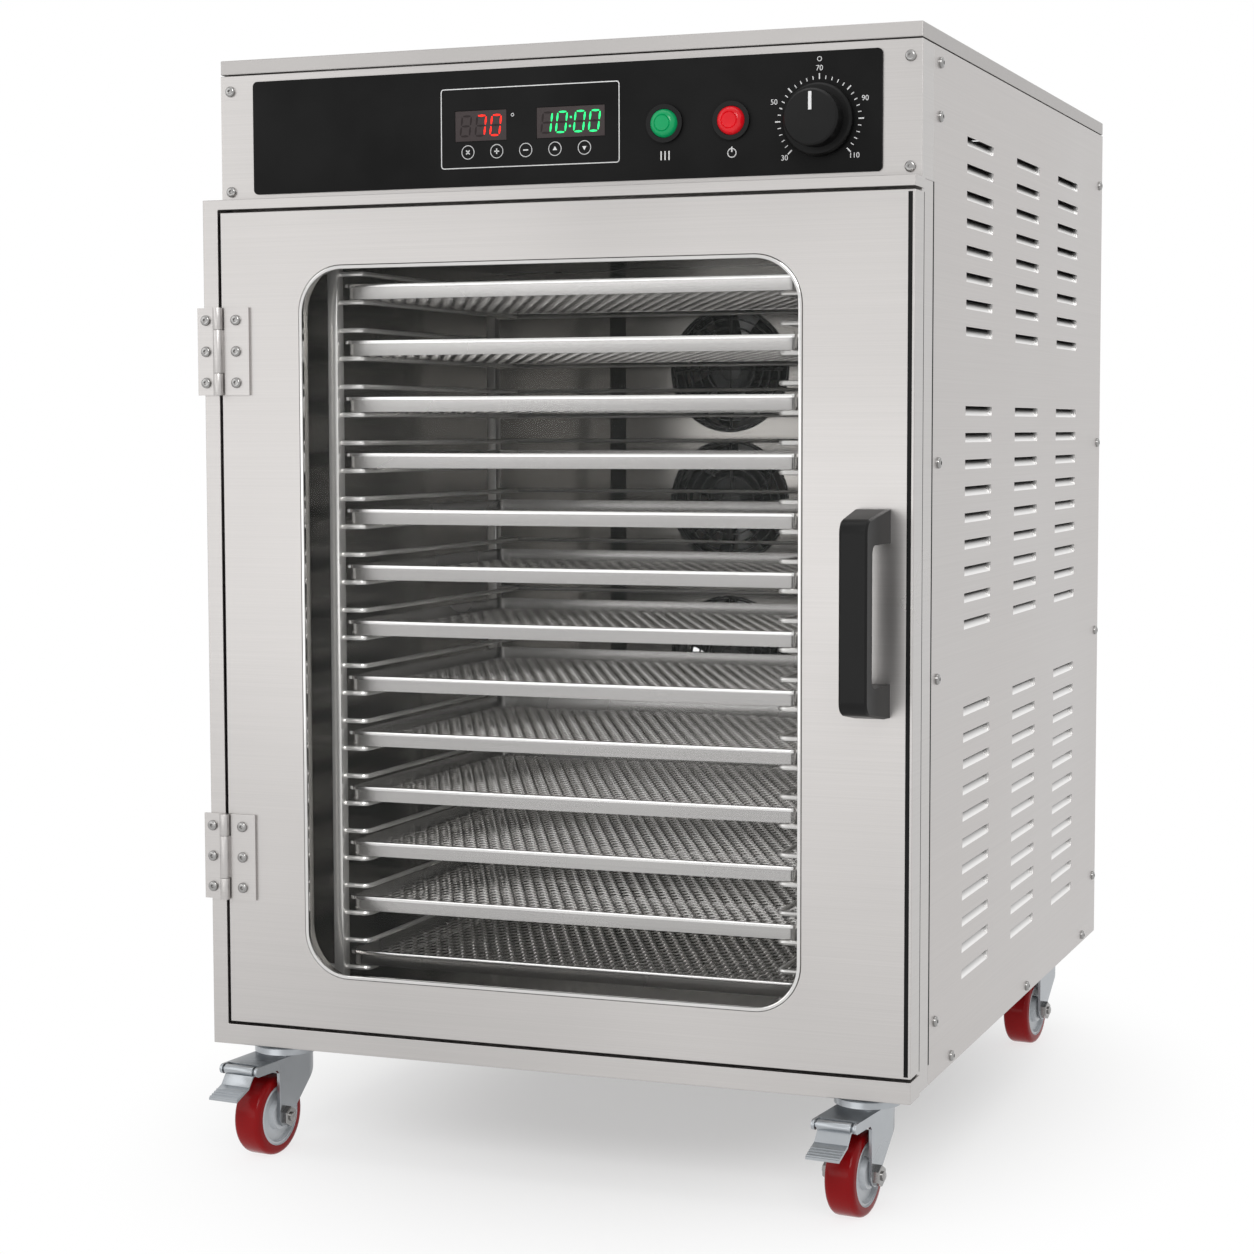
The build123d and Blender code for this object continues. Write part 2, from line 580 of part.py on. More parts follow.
def temperature_knob():
    """The two-tier knob: a wide skirt and a narrower grip with a pointer ridge."""
    y = FACE_Y - OVERLAY_T - FIT
    skirt = front_chamfer(rod(KNOB_X, y - KNOB_BASE_H, KNOB_Z, KNOB_D / 2, KNOB_BASE_H, (0, 1, 0)),
                          KNOB_BEVEL)
    grip = front_chamfer(rod(KNOB_X, y - KNOB_H, KNOB_Z, KNOB_TOP_D / 2, KNOB_H, (0, 1, 0)), KNOB_BEVEL)
    tip = KNOB_Z + KNOB_TOP_D / 2 - KNOB_BEVEL - POINTER_RISE
    pointer = block(KNOB_X - POINTER_W / 2, KNOB_X + POINTER_W / 2, y - KNOB_H - POINTER_RISE, y - KNOB_H,
                    tip - POINTER_L, tip)
    bore = rod(KNOB_X, y - KNOB_H + KNOB_CAP - FIT, KNOB_Z, SHAFT_D / 2 + RUN_FIT,
               KNOB_H - KNOB_CAP + FIT, (0, 1, 0))
    return skirt + grip + pointer - bore


# ---------------------------------------------------------------- door
def door_skin():
    """The outer door: a pan with a rounded window."""
    pan = block(DOOR_X0, DOOR_X1, FRONT_Y, DOOR_BACK, DOOR_Z0, DOOR_Z1)
    hollow = block(DOOR_X0 + SHEET, DOOR_X1 - SHEET, FRONT_Y + SHEET, DOOR_BACK,
                   DOOR_Z0 + SHEET, DOOR_Z1 - SHEET)
    window = upright_plate(WINDOW_X, WINDOW_Z, WINDOW_W, WINDOW_H, FRONT_Y, FRONT_Y + SHEET, WINDOW_R)
    return pan - hollow - window


def window_trim():
    """The polished rim in the window opening."""
    y0 = FRONT_Y - TRIM_PROUD
    return flat_ring(WINDOW_X, WINDOW_Z, WINDOW_W - 2 * FIT, WINDOW_H - 2 * FIT, TRIM_W,
                     y0, y0 + TRIM_DEPTH, WINDOW_R - FIT)


def window_glass():
    """One tempered pane behind the door skin."""
    y0 = FRONT_Y - TRIM_PROUD + TRIM_DEPTH + FIT
    return upright_plate(WINDOW_X, WINDOW_Z, WINDOW_W + 2 * GLASS_LAP, WINDOW_H + 2 * GLASS_LAP,
                         y0, y0 + GLASS_T, WINDOW_R + GLASS_LAP)


def door_liner():
    """The inner door panel, whose folded reveal presses the glass forward."""
    glass_back = FRONT_Y - TRIM_PROUD + TRIM_DEPTH + FIT + GLASS_T
    plate = block(DOOR_X0 + SHEET + FIT, DOOR_X1 - SHEET - FIT, DOOR_BACK - SHEET, DOOR_BACK,
                  DOOR_Z0 + SHEET + FIT, DOOR_Z1 - SHEET - FIT)
    grow = 2 * (REVEAL_STEP + SHEET)
    outer = upright_plate(WINDOW_X, WINDOW_Z, WINDOW_W + grow, WINDOW_H + grow,
                          glass_back + FIT, DOOR_BACK, WINDOW_R + grow / 2)
    step = 2 * REVEAL_STEP
    inner = upright_plate(WINDOW_X, WINDOW_Z, WINDOW_W + step, WINDOW_H + step,
                          glass_back + FIT, DOOR_BACK, WINDOW_R + step / 2)
    return plate + outer - inner


def door_seal():
    """The silicone seal between the door and the front ring."""
    z_mid = (CHAMBER_LOW + CHAMBER_HIGH) / 2
    width = CHAMBER_W + 2 * (SEAL_INSET + SEAL_W)
    height = CHAMBER_HIGH - CHAMBER_LOW + 2 * (SEAL_INSET + SEAL_W)
    return flat_ring(0, z_mid, width, height, SEAL_W, DOOR_BACK, FACE_Y - FIT, SEAL_R)


def door_handle():
    """The bridge handle: two feet, sloping shoulders and a straight grip."""
    out = HANDLE_OUT
    half = HANDLE_H / 2
    grip = HANDLE_GRIP_H / 2
    outline = make_face(Polyline((0, -half), (HANDLE_FOOT_T, -half), (out, -grip), (out, grip),
                                 (HANDLE_FOOT_T, half), (0, half), close=True))
    outline = fillet(outline.vertices().group_by(Axis.X)[-1], HANDLE_GRIP_T - 2)
    depth = out - HANDLE_GRIP_T
    finger_gap = Pos(depth / 2, 0) * Rectangle(depth, HANDLE_HOLE_H)
    finger_gap = fillet(finger_gap.vertices().group_by(Axis.X)[-1], HANDLE_GRIP_T / 2)
    plane = Plane((HANDLE_X, FRONT_Y, HANDLE_Z), x_dir=(0, -1, 0), z_dir=(1, 0, 0))
    body = extrude(plane * (outline - finger_gap), amount=HANDLE_FOOT_W / 2, both=True)
    taper = make_face(Polyline((-HANDLE_FOOT_W / 2, 0), (-HANDLE_GRIP_W / 2, -out),
                               (HANDLE_GRIP_W / 2, -out), (HANDLE_FOOT_W / 2, 0), close=True))
    low = Plane((HANDLE_X, FRONT_Y, HANDLE_Z - half))
    body = body & extrude(low * taper, amount=HANDLE_H)
    front = body.faces().filter_by(Axis.Y).sort_by(Axis.Y)[0]
    return chamfer(front.edges().filter_by(Axis.Z), HANDLE_EDGE)


# ---------------------------------------------------------------- hinges
def knuckles(z, outer):
    """Barrel pieces of one leaf: the two outer knuckles or the middle one."""
    middle = HINGE_H * KNUCKLE_SHARE
    end = (HINGE_H - middle) / 2
    if outer:
        spans = [(z - HINGE_H / 2, z - HINGE_H / 2 + end), (z + HINGE_H / 2 - end, z + HINGE_H / 2)]
    else:
        spans = [(z - middle / 2 + FIT, z + middle / 2 - FIT)]
    return spans


def hinge_leaf(z, side, outer, width):
    """One leaf: a plate on the face, knuckles round the pin and a bore or the pin itself."""
    plate_y0 = FRONT_Y - HINGE_LEAF_T
    x_near = HINGE_X + side * (HINGE_BARREL_R + LEAF_CLEAR)
    x_far = HINGE_X + side * width
    leaf = block(x_near, x_far, plate_y0, FRONT_Y, z - HINGE_H / 2, z + HINGE_H / 2)
    for z0, z1 in knuckles(z, outer):
        barrel = rod(HINGE_X, HINGE_Y, z0, HINGE_BARREL_R, z1 - z0, (0, 0, 1))
        strap = block(HINGE_X, x_near, plate_y0, FRONT_Y - HINGE_REST, z0, z1)
        leaf += barrel + strap
    if outer:
        leaf += rod(HINGE_X, HINGE_Y, z - HINGE_H / 2, HINGE_PIN_R, HINGE_H, (0, 0, 1))
    else:
        leaf -= rod(HINGE_X, HINGE_Y, z - HINGE_H / 2, HINGE_PIN_R + RUN_FIT, HINGE_H, (0, 0, 1))
    return leaf


def hinge_screw_places(side, width):
    """Three screws down each leaf."""
    x = HINGE_X + side * (HINGE_BARREL_R + width) / 2
    for z in HINGE_Z:
        for i in (-1, 0, 1):
            yield x, FRONT_Y - HINGE_LEAF_T, z + i * HINGE_SCREW_PITCH


# ---------------------------------------------------------------- trays and racks
def tray(level):
    """A shallow tray with a folded rim, rounded corners and a mesh floor."""
    base = Plane((0, TRAY_Y + TRAY_D / 2, BASE_Z + TRAY_Z + level * TRAY_PITCH))
    wall_w = TRAY_W - 2 * TRAY_RIM_W
    wall_d = TRAY_D - 2 * TRAY_RIM_W
    wall = extrude(base * Rectangle(wall_w, wall_d), amount=TRAY_H)
    rim_plane = base.offset(TRAY_H - TRAY_RIM_H)
    rim = extrude(rim_plane * RectangleRounded(TRAY_W, TRAY_D, TRAY_CORNER_R), amount=TRAY_RIM_H)
    floor = base.offset(TRAY_FLOOR_T)
    inside = extrude(floor * Rectangle(wall_w - 2 * TRAY_SHEET, wall_d - 2 * TRAY_SHEET), amount=TRAY_H)
    return wall + rim - inside


def rack(side):
    """Two uprights with pairs of runner wires: one under each tray and one between trays."""
    x_post = side * (TRAY_W / 2 + RACK_CLEAR)
    x_wall = x_post + side * UPRIGHT_W
    x_liner = side * CHAMBER_W / 2
    x_in = side * (TRAY_W / 2 - RUNNER_IN)
    z0 = CHAMBER_LOW + RACK_FOOT
    z1 = CHAMBER_HIGH - RACK_FOOT
    y_front = FACE_Y + RACK_FRONT
    y_rear = TRAY_Y + TRAY_D + RACK_REAR
    posts = []
    for y in (y_front, y_rear - UPRIGHT_D):
        posts.append(block(x_wall, x_post, y, y + UPRIGHT_D, z0, z1))
        for z in (z0, z1 - STAY_H):
            posts.append(block(x_wall, x_liner, y + STAY_INSET, y + UPRIGHT_D - STAY_INSET, z, z + STAY_H))
    wire_front = y_front + (UPRIGHT_D - WIRE) / 2
    wire_rear = y_rear - (UPRIGHT_D - WIRE) / 2
    wires = []
    for level in range(TRAY_COUNT):
        for lift in (-RUNNER_DROP, TRAY_PITCH / 2 - RUNNER_DROP):
            z = BASE_Z + TRAY_Z + level * TRAY_PITCH + lift
            wires.append(block(x_in, x_in + side * WIRE, wire_front, wire_rear, z, z + WIRE))
            for y in (wire_front, wire_rear - WIRE):
                wires.append(block(x_in, x_post, y, y + WIRE, z, z + WIRE))
    return posts[0].fuse(*posts[1:], *wires)


# ---------------------------------------------------------------- fans and heater
def fan_housing(z):
    """A square fan frame with a round duct, a finger guard in front and a spider behind."""
    y1 = FAN_Y + FAN_DEPTH
    duct = rod(0, FAN_Y, z, FAN_BORE / 2, FAN_DEPTH, (0, 1, 0))
    frame = upright_plate(0, z, FAN_SIZE, FAN_SIZE, FAN_Y, y1) - duct
    guard_plane = Plane((0, FAN_Y, z), z_dir=(0, 1, 0))
    across = FAN_BORE + 2 * BAR_ROOT
    grille = guard_plane * Circle(GUARD_DISC_D / 2)
    for radius in GUARD_RINGS:
        grille += guard_plane * (Circle(radius + GUARD_BAR / 2) - Circle(radius - GUARD_BAR / 2))
    for i in range(GUARD_SPOKES):
        grille += guard_plane * Rot(0, 0, 180 / GUARD_SPOKES * i) * Rectangle(GUARD_BAR, across)
    guard = extrude(grille, amount=GUARD_BAR, dir=Vector(0, 1, 0))
    strut = block(-FAN_STRUT_W / 2, FAN_STRUT_W / 2, y1 - FAN_BACK_T, y1, -across / 2, across / 2)
    struts = [Pos(0, 0, z) * Rot(0, angle, 0) * strut for angle in (45, -45)]
    motor = rod(0, y1 - FAN_BACK_T, z, FAN_HUB_D / 2, FAN_BACK_T, (0, 1, 0))
    stub = rod(0, y1 - FAN_BACK_T, z, FAN_STUB_R, FAN_STUB_L, (0, -1, 0))
    return frame.fuse(guard, *struts, motor, stub)


def fan_impeller(z):
    """An impeller with tilted blades that turns on the housing's stub."""
    y0 = FAN_Y + GUARD_BAR + FAN_FRONT_GAP
    length = FAN_DEPTH - GUARD_BAR - FAN_BACK_T - FAN_FRONT_GAP - FAN_BACK_GAP
    hub = rod(0, y0, z, FAN_HUB_D / 2, length, (0, 1, 0))
    root = FAN_HUB_D / 2 - FAN_BLADE_ROOT
    reach = FAN_BORE / 2 - FAN_BLADE_CLEAR
    half_across = FAN_BLADE_W / 2 * sin(radians(FAN_BLADE_TILT)) + FAN_BLADE_T
    tip = (reach * reach - half_across * half_across) ** 0.5
    blade = Rot(FAN_BLADE_TILT, 0, 0) * block(root, tip, -FAN_BLADE_T / 2, FAN_BLADE_T / 2,
                                              -FAN_BLADE_W / 2, FAN_BLADE_W / 2)
    blades = []
    for i in range(FAN_BLADES):
        blades.append(Pos(0, y0 + length / 2, z) * Rot(0, 360 / FAN_BLADES * i, 0) * blade)
    bore = rod(0, y0 + FAN_HUB_CAP, z, FAN_STUB_R + RUN_FIT, length, (0, 1, 0))
    return hub.fuse(*blades) - bore


def heater_element():
    """A finned strip heater behind the fans, held by a shelf at each end."""
    y = FAN_PANEL_Y + SHEET + HEATER_BACK
    z_top = max(FAN_Z) + FAN_SIZE / 2 + HEATER_CLEAR
    z_low = min(FAN_Z) - FAN_SIZE / 2 - HEATER_CLEAR - HEATER_SHELF_T
    strip = block(-HEATER_STRIP_W / 2, HEATER_STRIP_W / 2, y - HEATER_STRIP_T / 2, y + HEATER_STRIP_T / 2,
                  z_low + HEATER_SHELF_T, z_top)
    pitch = (z_top - z_low - HEATER_SHELF_T) / (HEATER_FINS + 1)
    fins = []
    for i in range(HEATER_FINS):
        z = z_low + HEATER_SHELF_T + (i + 1) * pitch
        fins.append(block(-HEATER_FIN_W / 2, HEATER_FIN_W / 2, y - HEATER_FIN_W / 4, y + HEATER_FIN_W / 4,
                          z, z + SHEET))
    solids = [strip.fuse(*fins)]
    wall = FAN_PANEL_Y + SHEET
    half = HEATER_FIN_W / 2
    for z, z_lip in ((z_top, z_top), (z_low, z_low - HEATER_LIP_H + HEATER_SHELF_T)):
        shelf = block(-half, half, wall, y + HEATER_FIN_W / 4, z, z + HEATER_SHELF_T)
        lip = block(-half, half, wall, wall + HEATER_SHELF_T, z_lip, z_lip + HEATER_LIP_H)
        solids.append(shelf + lip)
    return solids


# ---------------------------------------------------------------- casters
def caster_place(side, front):
    """Where a caster's swivel axis meets the floor."""
    y = FACE_Y + CASTER_FRONT if front else BACK_Y - CASTER_REAR
    return Pos(side * CASTER_X, y, 0)


def caster_plate():
    """The fixed plate with its upper race and king pin."""
    top = CASTER_H
    plate = Pos(0, 0, top - PLATE_T) * extrude(Rectangle(PLATE_SIZE, PLATE_SIZE), amount=PLATE_T)
    race = Pos(0, 0, top - PLATE_T - RACE_H) * extrude(Circle(RACE_D / 2), amount=RACE_H)
    pin_low = FORK_TOP - FORK_T - FIT - RIVET_H
    pin = Pos(0, 0, pin_low) * extrude(Circle(KING_PIN_D / 2), amount=top - PLATE_T - pin_low)
    rivet = Pos(0, 0, pin_low) * extrude(RegularPolygon(KING_NUT_R, 6), amount=RIVET_H)
    return plate + race + pin + rivet


def caster_fork():
    """The swivel head and pressed fork, whose arms carry the brake pedal, with axle and pin."""
    axle_z = WHEEL_D / 2
    half = FORK_W / 2
    head = Pos(0, 0, FORK_TOP) * extrude(Circle(HEAD_D / 2), amount=HEAD_H)
    boss_r = AXLE_D / 2 + AXLE_WALL
    leg_front = TRAIL + boss_r
    ear_r = ARM_H / 2
    arm_out = BRAKE_PIN_OUT + ear_r
    arm_low = FORK_TOP - ARM_H
    rear = HEAD_D / 2 - HEAD_LIP
    outline = make_face(Polyline(
        (-leg_front, axle_z), (-leg_front, arm_low - ARM_GUSSET), (-leg_front - ARM_GUSSET, arm_low),
        (-BRAKE_PIN_OUT, arm_low),
        (-BRAKE_PIN_OUT, FORK_TOP), (rear, FORK_TOP), (rear, arm_low), (-TRAIL + boss_r, axle_z), close=True))
    outline += Pos(-TRAIL, axle_z) * Circle(boss_r)
    outline += Pos(-BRAKE_PIN_OUT, BRAKE_PIN_Z) * Circle(ear_r)
    side_plane = Plane((0, 0, 0), x_dir=(0, 1, 0), z_dir=(1, 0, 0))
    blank = extrude(side_plane * outline, amount=half, both=True)
    length = arm_out + rear - half
    middle = (rear - half - arm_out) / 2
    bend = Pos(0, rear - half)
    room_half = half - FORK_T
    plan = Pos(0, middle) * Rectangle(FORK_W, length) + bend * Circle(half)
    room = Pos(0, middle) * Rectangle(2 * room_half, length) + bend * Circle(room_half)
    pressed = (blank & extrude(plan, amount=FORK_TOP)) - extrude(room, amount=FORK_TOP - FORK_T)
    pin_gap = block(-room_half, room_half, -arm_out, -arm_out + PIN_GAP_L, FORK_TOP - FORK_T, FORK_TOP)
    king_hole = Pos(0, 0, FORK_TOP - FORK_T) * extrude(Circle(KING_PIN_D / 2 + RUN_FIT),
                                                       amount=HEAD_H + FORK_T)
    fork = head + (pressed - pin_gap) - king_hole
    axle = rod(-half, -TRAIL, axle_z, AXLE_D / 2, FORK_W, (1, 0, 0))
    for x, direction in ((half, 1), (-half, -1)):
        nut_plane = Plane((x, -TRAIL, axle_z), z_dir=(direction, 0, 0))
        axle += extrude(nut_plane * RegularPolygon(NUT_R, 6), amount=NUT_H)
    pin = rod(-half, -BRAKE_PIN_OUT, BRAKE_PIN_Z, BRAKE_PIN_D / 2, FORK_W, (1, 0, 0))
    return fork + axle + pin


def caster_wheel():
    """A polyurethane tyre on a core whose boss reaches the fork's cheeks."""
    boss_w = FORK_W - 2 * FORK_T - 2 * FIT
    axis = Plane((0, -TRAIL, WHEEL_D / 2), z_dir=(1, 0, 0))
    tyre = extrude(axis * (Circle(WHEEL_D / 2) - Circle(CORE_D / 2)), amount=WHEEL_W / 2, both=True)
    bore = Circle(AXLE_D / 2 + RUN_FIT)
    disc = extrude(axis * (Circle(CORE_D / 2) - bore), amount=CORE_T / 2, both=True)
    boss = extrude(axis * (Circle(CORE_BOSS_D / 2) - bore), amount=boss_w / 2, both=True)
    return [tyre, disc + boss]


def brake_pedal():
    """A ribbed, S-shaped foot pedal that turns on the pin across the fork's arms."""
    eye_r = BRAKE_PIN_D / 2 + RUN_FIT
    pin = (-BRAKE_PIN_OUT, BRAKE_PIN_Z)
    upper = [(pin[0] - out, pin[1] - down) for out, down in PEDAL_PATH]
    lower = [(y, z - PEDAL_T) for y, z in reversed(upper)]
    outline = make_face(Polyline(*upper, *lower, close=True))
    (y0, z0), (y1, z1) = upper[-2:]
    for i in range(PEDAL_RIBS):
        share = (i + 0.5) / PEDAL_RIBS
        outline += Pos(y0 + (y1 - y0) * share, z0 + (z1 - z0) * share) * Rectangle(PEDAL_RIB, PEDAL_RIB)
    outline += Pos(*pin) * Circle(eye_r + PEDAL_T)
    outline -= Pos(*pin) * Circle(eye_r)
    side_plane = Plane((0, 0, 0), x_dir=(0, 1, 0), z_dir=(1, 0, 0))
    return extrude(side_plane * outline, amount=PEDAL_W / 2, both=True)


# ---------------------------------------------------------------- fasteners
def screw_heights(above, below):
    """Heights of a row of screws, some set from the underside and some from the top."""
    return [BASE_Z + up for up in above] + [TOP_Z - down for down in below]


def cabinet_screws():
    """Button heads on the control panel, the side panels, the back and the fixed hinge leaves."""
    places = []
    for x in (-1, 1):
        for z in (PANEL_TOP - SCREW_PANEL_DOWN, DOOR_FRAME_TOP + SCREW_PANEL_UP):
            places.append((x * (CAB_W / 2 - SCREW_PANEL_IN), FACE_Y, z, (0, -1, 0)))
    for side in (-1, 1):
        x = side * CAB_W / 2
        out = (side, 0, 0)
        for z in screw_heights(SCREW_UP_FRONT, SCREW_DOWN_FRONT):
            places.append((x, FACE_Y + POST_D + SCREW_EDGE_FRONT, z, out))
        for z in screw_heights(SCREW_UP_REAR, SCREW_DOWN_REAR):
            places.append((x, BACK_Y - SCREW_EDGE_REAR, z, out))
        for y in (*[FACE_Y + depth for depth in SCREW_LOW_FRONT], BACK_Y - SCREW_LOW_REAR):
            places.append((x, y, BASE_Z + SCREW_EDGE_LOW, out))
        for z in screw_heights(SCREW_UP_BACK, SCREW_DOWN_BACK):
            places.append((x - side * SCREW_EDGE_BACK, BACK_Y, z, (0, 1, 0)))
    for x, y, z in hinge_screw_places(-1, FIXED_LEAF_W):
        places.append((x, y, z, (0, -1, 0)))
    return [screw(*place) for place in places]


def door_screws():
    """Button heads on the door's hinge leaves, and inside the door behind the handle."""
    places = [(x, y, z, (0, -1, 0)) for x, y, z in hinge_screw_places(1, DOOR_LEAF_W)]
    for z in (-1, 1):
        offset_z = (HANDLE_H + HANDLE_HOLE_H) / 4
        places.append((HANDLE_X, FRONT_Y + SHEET, HANDLE_Z + z * offset_z, (0, 1, 0)))
    return [screw(*place) for place in places]


# ---------------------------------------------------------------- the whole machine
def all_nodes():
    """Every named piece, as a list of its solids."""
    nodes = {
        "front_frame": [front_frame()],
        "left_side_panel": [side_panel(-1)],
        "right_side_panel": [side_panel(1)],
        "back_panel": [back_panel()],
        "top_cover": [top_cover()],
        "base_pan": [base_pan()],
        "cable_gland": [cable_gland()],
        "chamber_liner": [chamber_liner()],
        "fan_wall": [fan_wall()],
        "control_fascia": [control_fascia()],
        "control_overlay": [control_overlay()],
        "display_module": [display_module()],
        "lamp_bezels": lamp_bezels(),
        "heating_lamp": [lamp_cap(LAMP_X, FIT)],
        "power_button": [lamp_cap(POWER_X, FIT)],
        "thermostat": [thermostat()],
        "temperature_knob": [temperature_knob()],
        "cabinet_screws": cabinet_screws(),
        "hinge_leaves_frame": [hinge_leaf(z, -1, True, FIXED_LEAF_W) for z in HINGE_Z],
        "door_skin": [door_skin()],
        "door_liner": [door_liner()],
        "window_glass": [window_glass()],
        "window_trim": [window_trim()],
        "door_seal": [door_seal()],
        "door_handle": [door_handle()],
        "door_screws": door_screws(),
        "hinge_leaves_door": [hinge_leaf(z, 1, False, DOOR_LEAF_W) for z in HINGE_Z],
        "rack_left": [rack(-1)],
        "rack_right": [rack(1)],
        "fan_housings": [fan_housing(z) for z in FAN_Z],
        "heater_element": heater_element(),
    }
    for level in range(TRAY_COUNT):
        nodes[f"tray_{level + 1:02d}"] = [tray(level)]
    for i, z in enumerate(FAN_Z, start=1):
        nodes[f"fan_impeller_{i}"] = [fan_impeller(z)]
    corners = {"front_left": (-1, True), "front_right": (1, True),
               "rear_left": (-1, False), "rear_right": (1, False)}
    nodes["caster_plates"] = []
    for name, (side, front) in corners.items():
        place = caster_place(side, front)
        turned = place * Rot(0, 0, -CASTER_YAW)
        nodes["caster_plates"].append(place * caster_plate())
        nodes[f"caster_fork_{name}"] = [turned * caster_fork()]
        nodes[f"caster_wheel_{name}"] = [turned * solid for solid in caster_wheel()]
        nodes[f"brake_pedal_{name}"] = [turned * brake_pedal()]
    return nodes


os.makedirs("parts", exist_ok=True)
for node, solids in all_nodes().items():
    whole = solids[0] if len(solids) == 1 else Compound(children=solids)
    export_step(whole, f"parts/{node}.step")
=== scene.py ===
import json
import math
import bpy
from mathutils import Euler, Matrix, Vector


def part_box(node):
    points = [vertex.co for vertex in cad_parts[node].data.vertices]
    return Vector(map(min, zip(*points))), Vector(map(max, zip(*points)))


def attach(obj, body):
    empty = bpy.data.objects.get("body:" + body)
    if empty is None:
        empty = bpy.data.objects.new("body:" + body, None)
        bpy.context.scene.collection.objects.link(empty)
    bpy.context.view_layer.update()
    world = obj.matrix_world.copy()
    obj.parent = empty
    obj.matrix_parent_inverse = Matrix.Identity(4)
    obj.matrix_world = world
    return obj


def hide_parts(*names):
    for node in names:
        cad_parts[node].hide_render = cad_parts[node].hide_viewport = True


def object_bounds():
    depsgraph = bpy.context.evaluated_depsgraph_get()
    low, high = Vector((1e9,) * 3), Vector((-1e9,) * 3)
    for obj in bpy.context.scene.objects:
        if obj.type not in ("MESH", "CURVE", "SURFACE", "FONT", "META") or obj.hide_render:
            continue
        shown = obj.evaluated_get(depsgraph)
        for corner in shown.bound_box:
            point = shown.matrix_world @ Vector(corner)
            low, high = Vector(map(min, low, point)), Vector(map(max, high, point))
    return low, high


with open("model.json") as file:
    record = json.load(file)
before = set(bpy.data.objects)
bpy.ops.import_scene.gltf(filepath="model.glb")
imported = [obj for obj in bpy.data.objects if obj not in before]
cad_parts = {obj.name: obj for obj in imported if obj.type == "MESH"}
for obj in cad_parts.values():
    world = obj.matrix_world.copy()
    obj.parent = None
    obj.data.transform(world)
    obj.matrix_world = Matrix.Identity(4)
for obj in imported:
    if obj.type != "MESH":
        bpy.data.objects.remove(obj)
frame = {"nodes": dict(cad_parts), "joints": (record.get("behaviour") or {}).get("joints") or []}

# Food dehydrator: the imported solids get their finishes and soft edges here, and the mesh trays,
# wire racks, fan guards, lenses, wheels, screws and printed marks are modelled over them or in
# their place. Metres, in the frame of the solids.

MM = 0.001
NEAR = 0.1 * MM
FACING = 0.9
CAD_LOW, CAD_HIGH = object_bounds()
NODES = frame["nodes"]
JOINTS = {joint["name"]: joint for joint in frame["joints"]}
TRAYS = sorted(name for name in NODES if name.startswith("tray_"))
CORNERS = ("front_left", "front_right", "rear_left", "rear_right")
bpy.context.scene.view_settings.view_transform = "Standard"


def low(node):
    """The lowest corner of a node's box."""
    return Vector(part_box(node)[0])


def high(node):
    """The highest corner of a node's box."""
    return Vector(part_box(node)[1])


def middle(node):
    """The middle of a node's box."""
    return (low(node) + high(node)) / 2


# ---------------- materials
NOISE_LOW, NOISE_HIGH = 0.3, 0.7
BRUSH_STRENGTH, BRUSH_DEPTH = 0.06, 0.04 * MM
SPECKLE_DEPTH = 0.1 * MM
# Painted shade deep in the louvre pockets, and a painted highlight along their lip.
POCKET_PAINTED_SHADE = (0.030, 0.029, 0.028)
LIP_PAINTED_HIGHLIGHT = (0.86, 0.85, 0.84)
POCKET_START, POCKET_END = 0.15, 0.85
FLUSH_START, FLUSH_END = 0.05 * MM, 0.30 * MM


def even(value):
    """One value three times, as a grain or as a grey."""
    return (value, value, value)


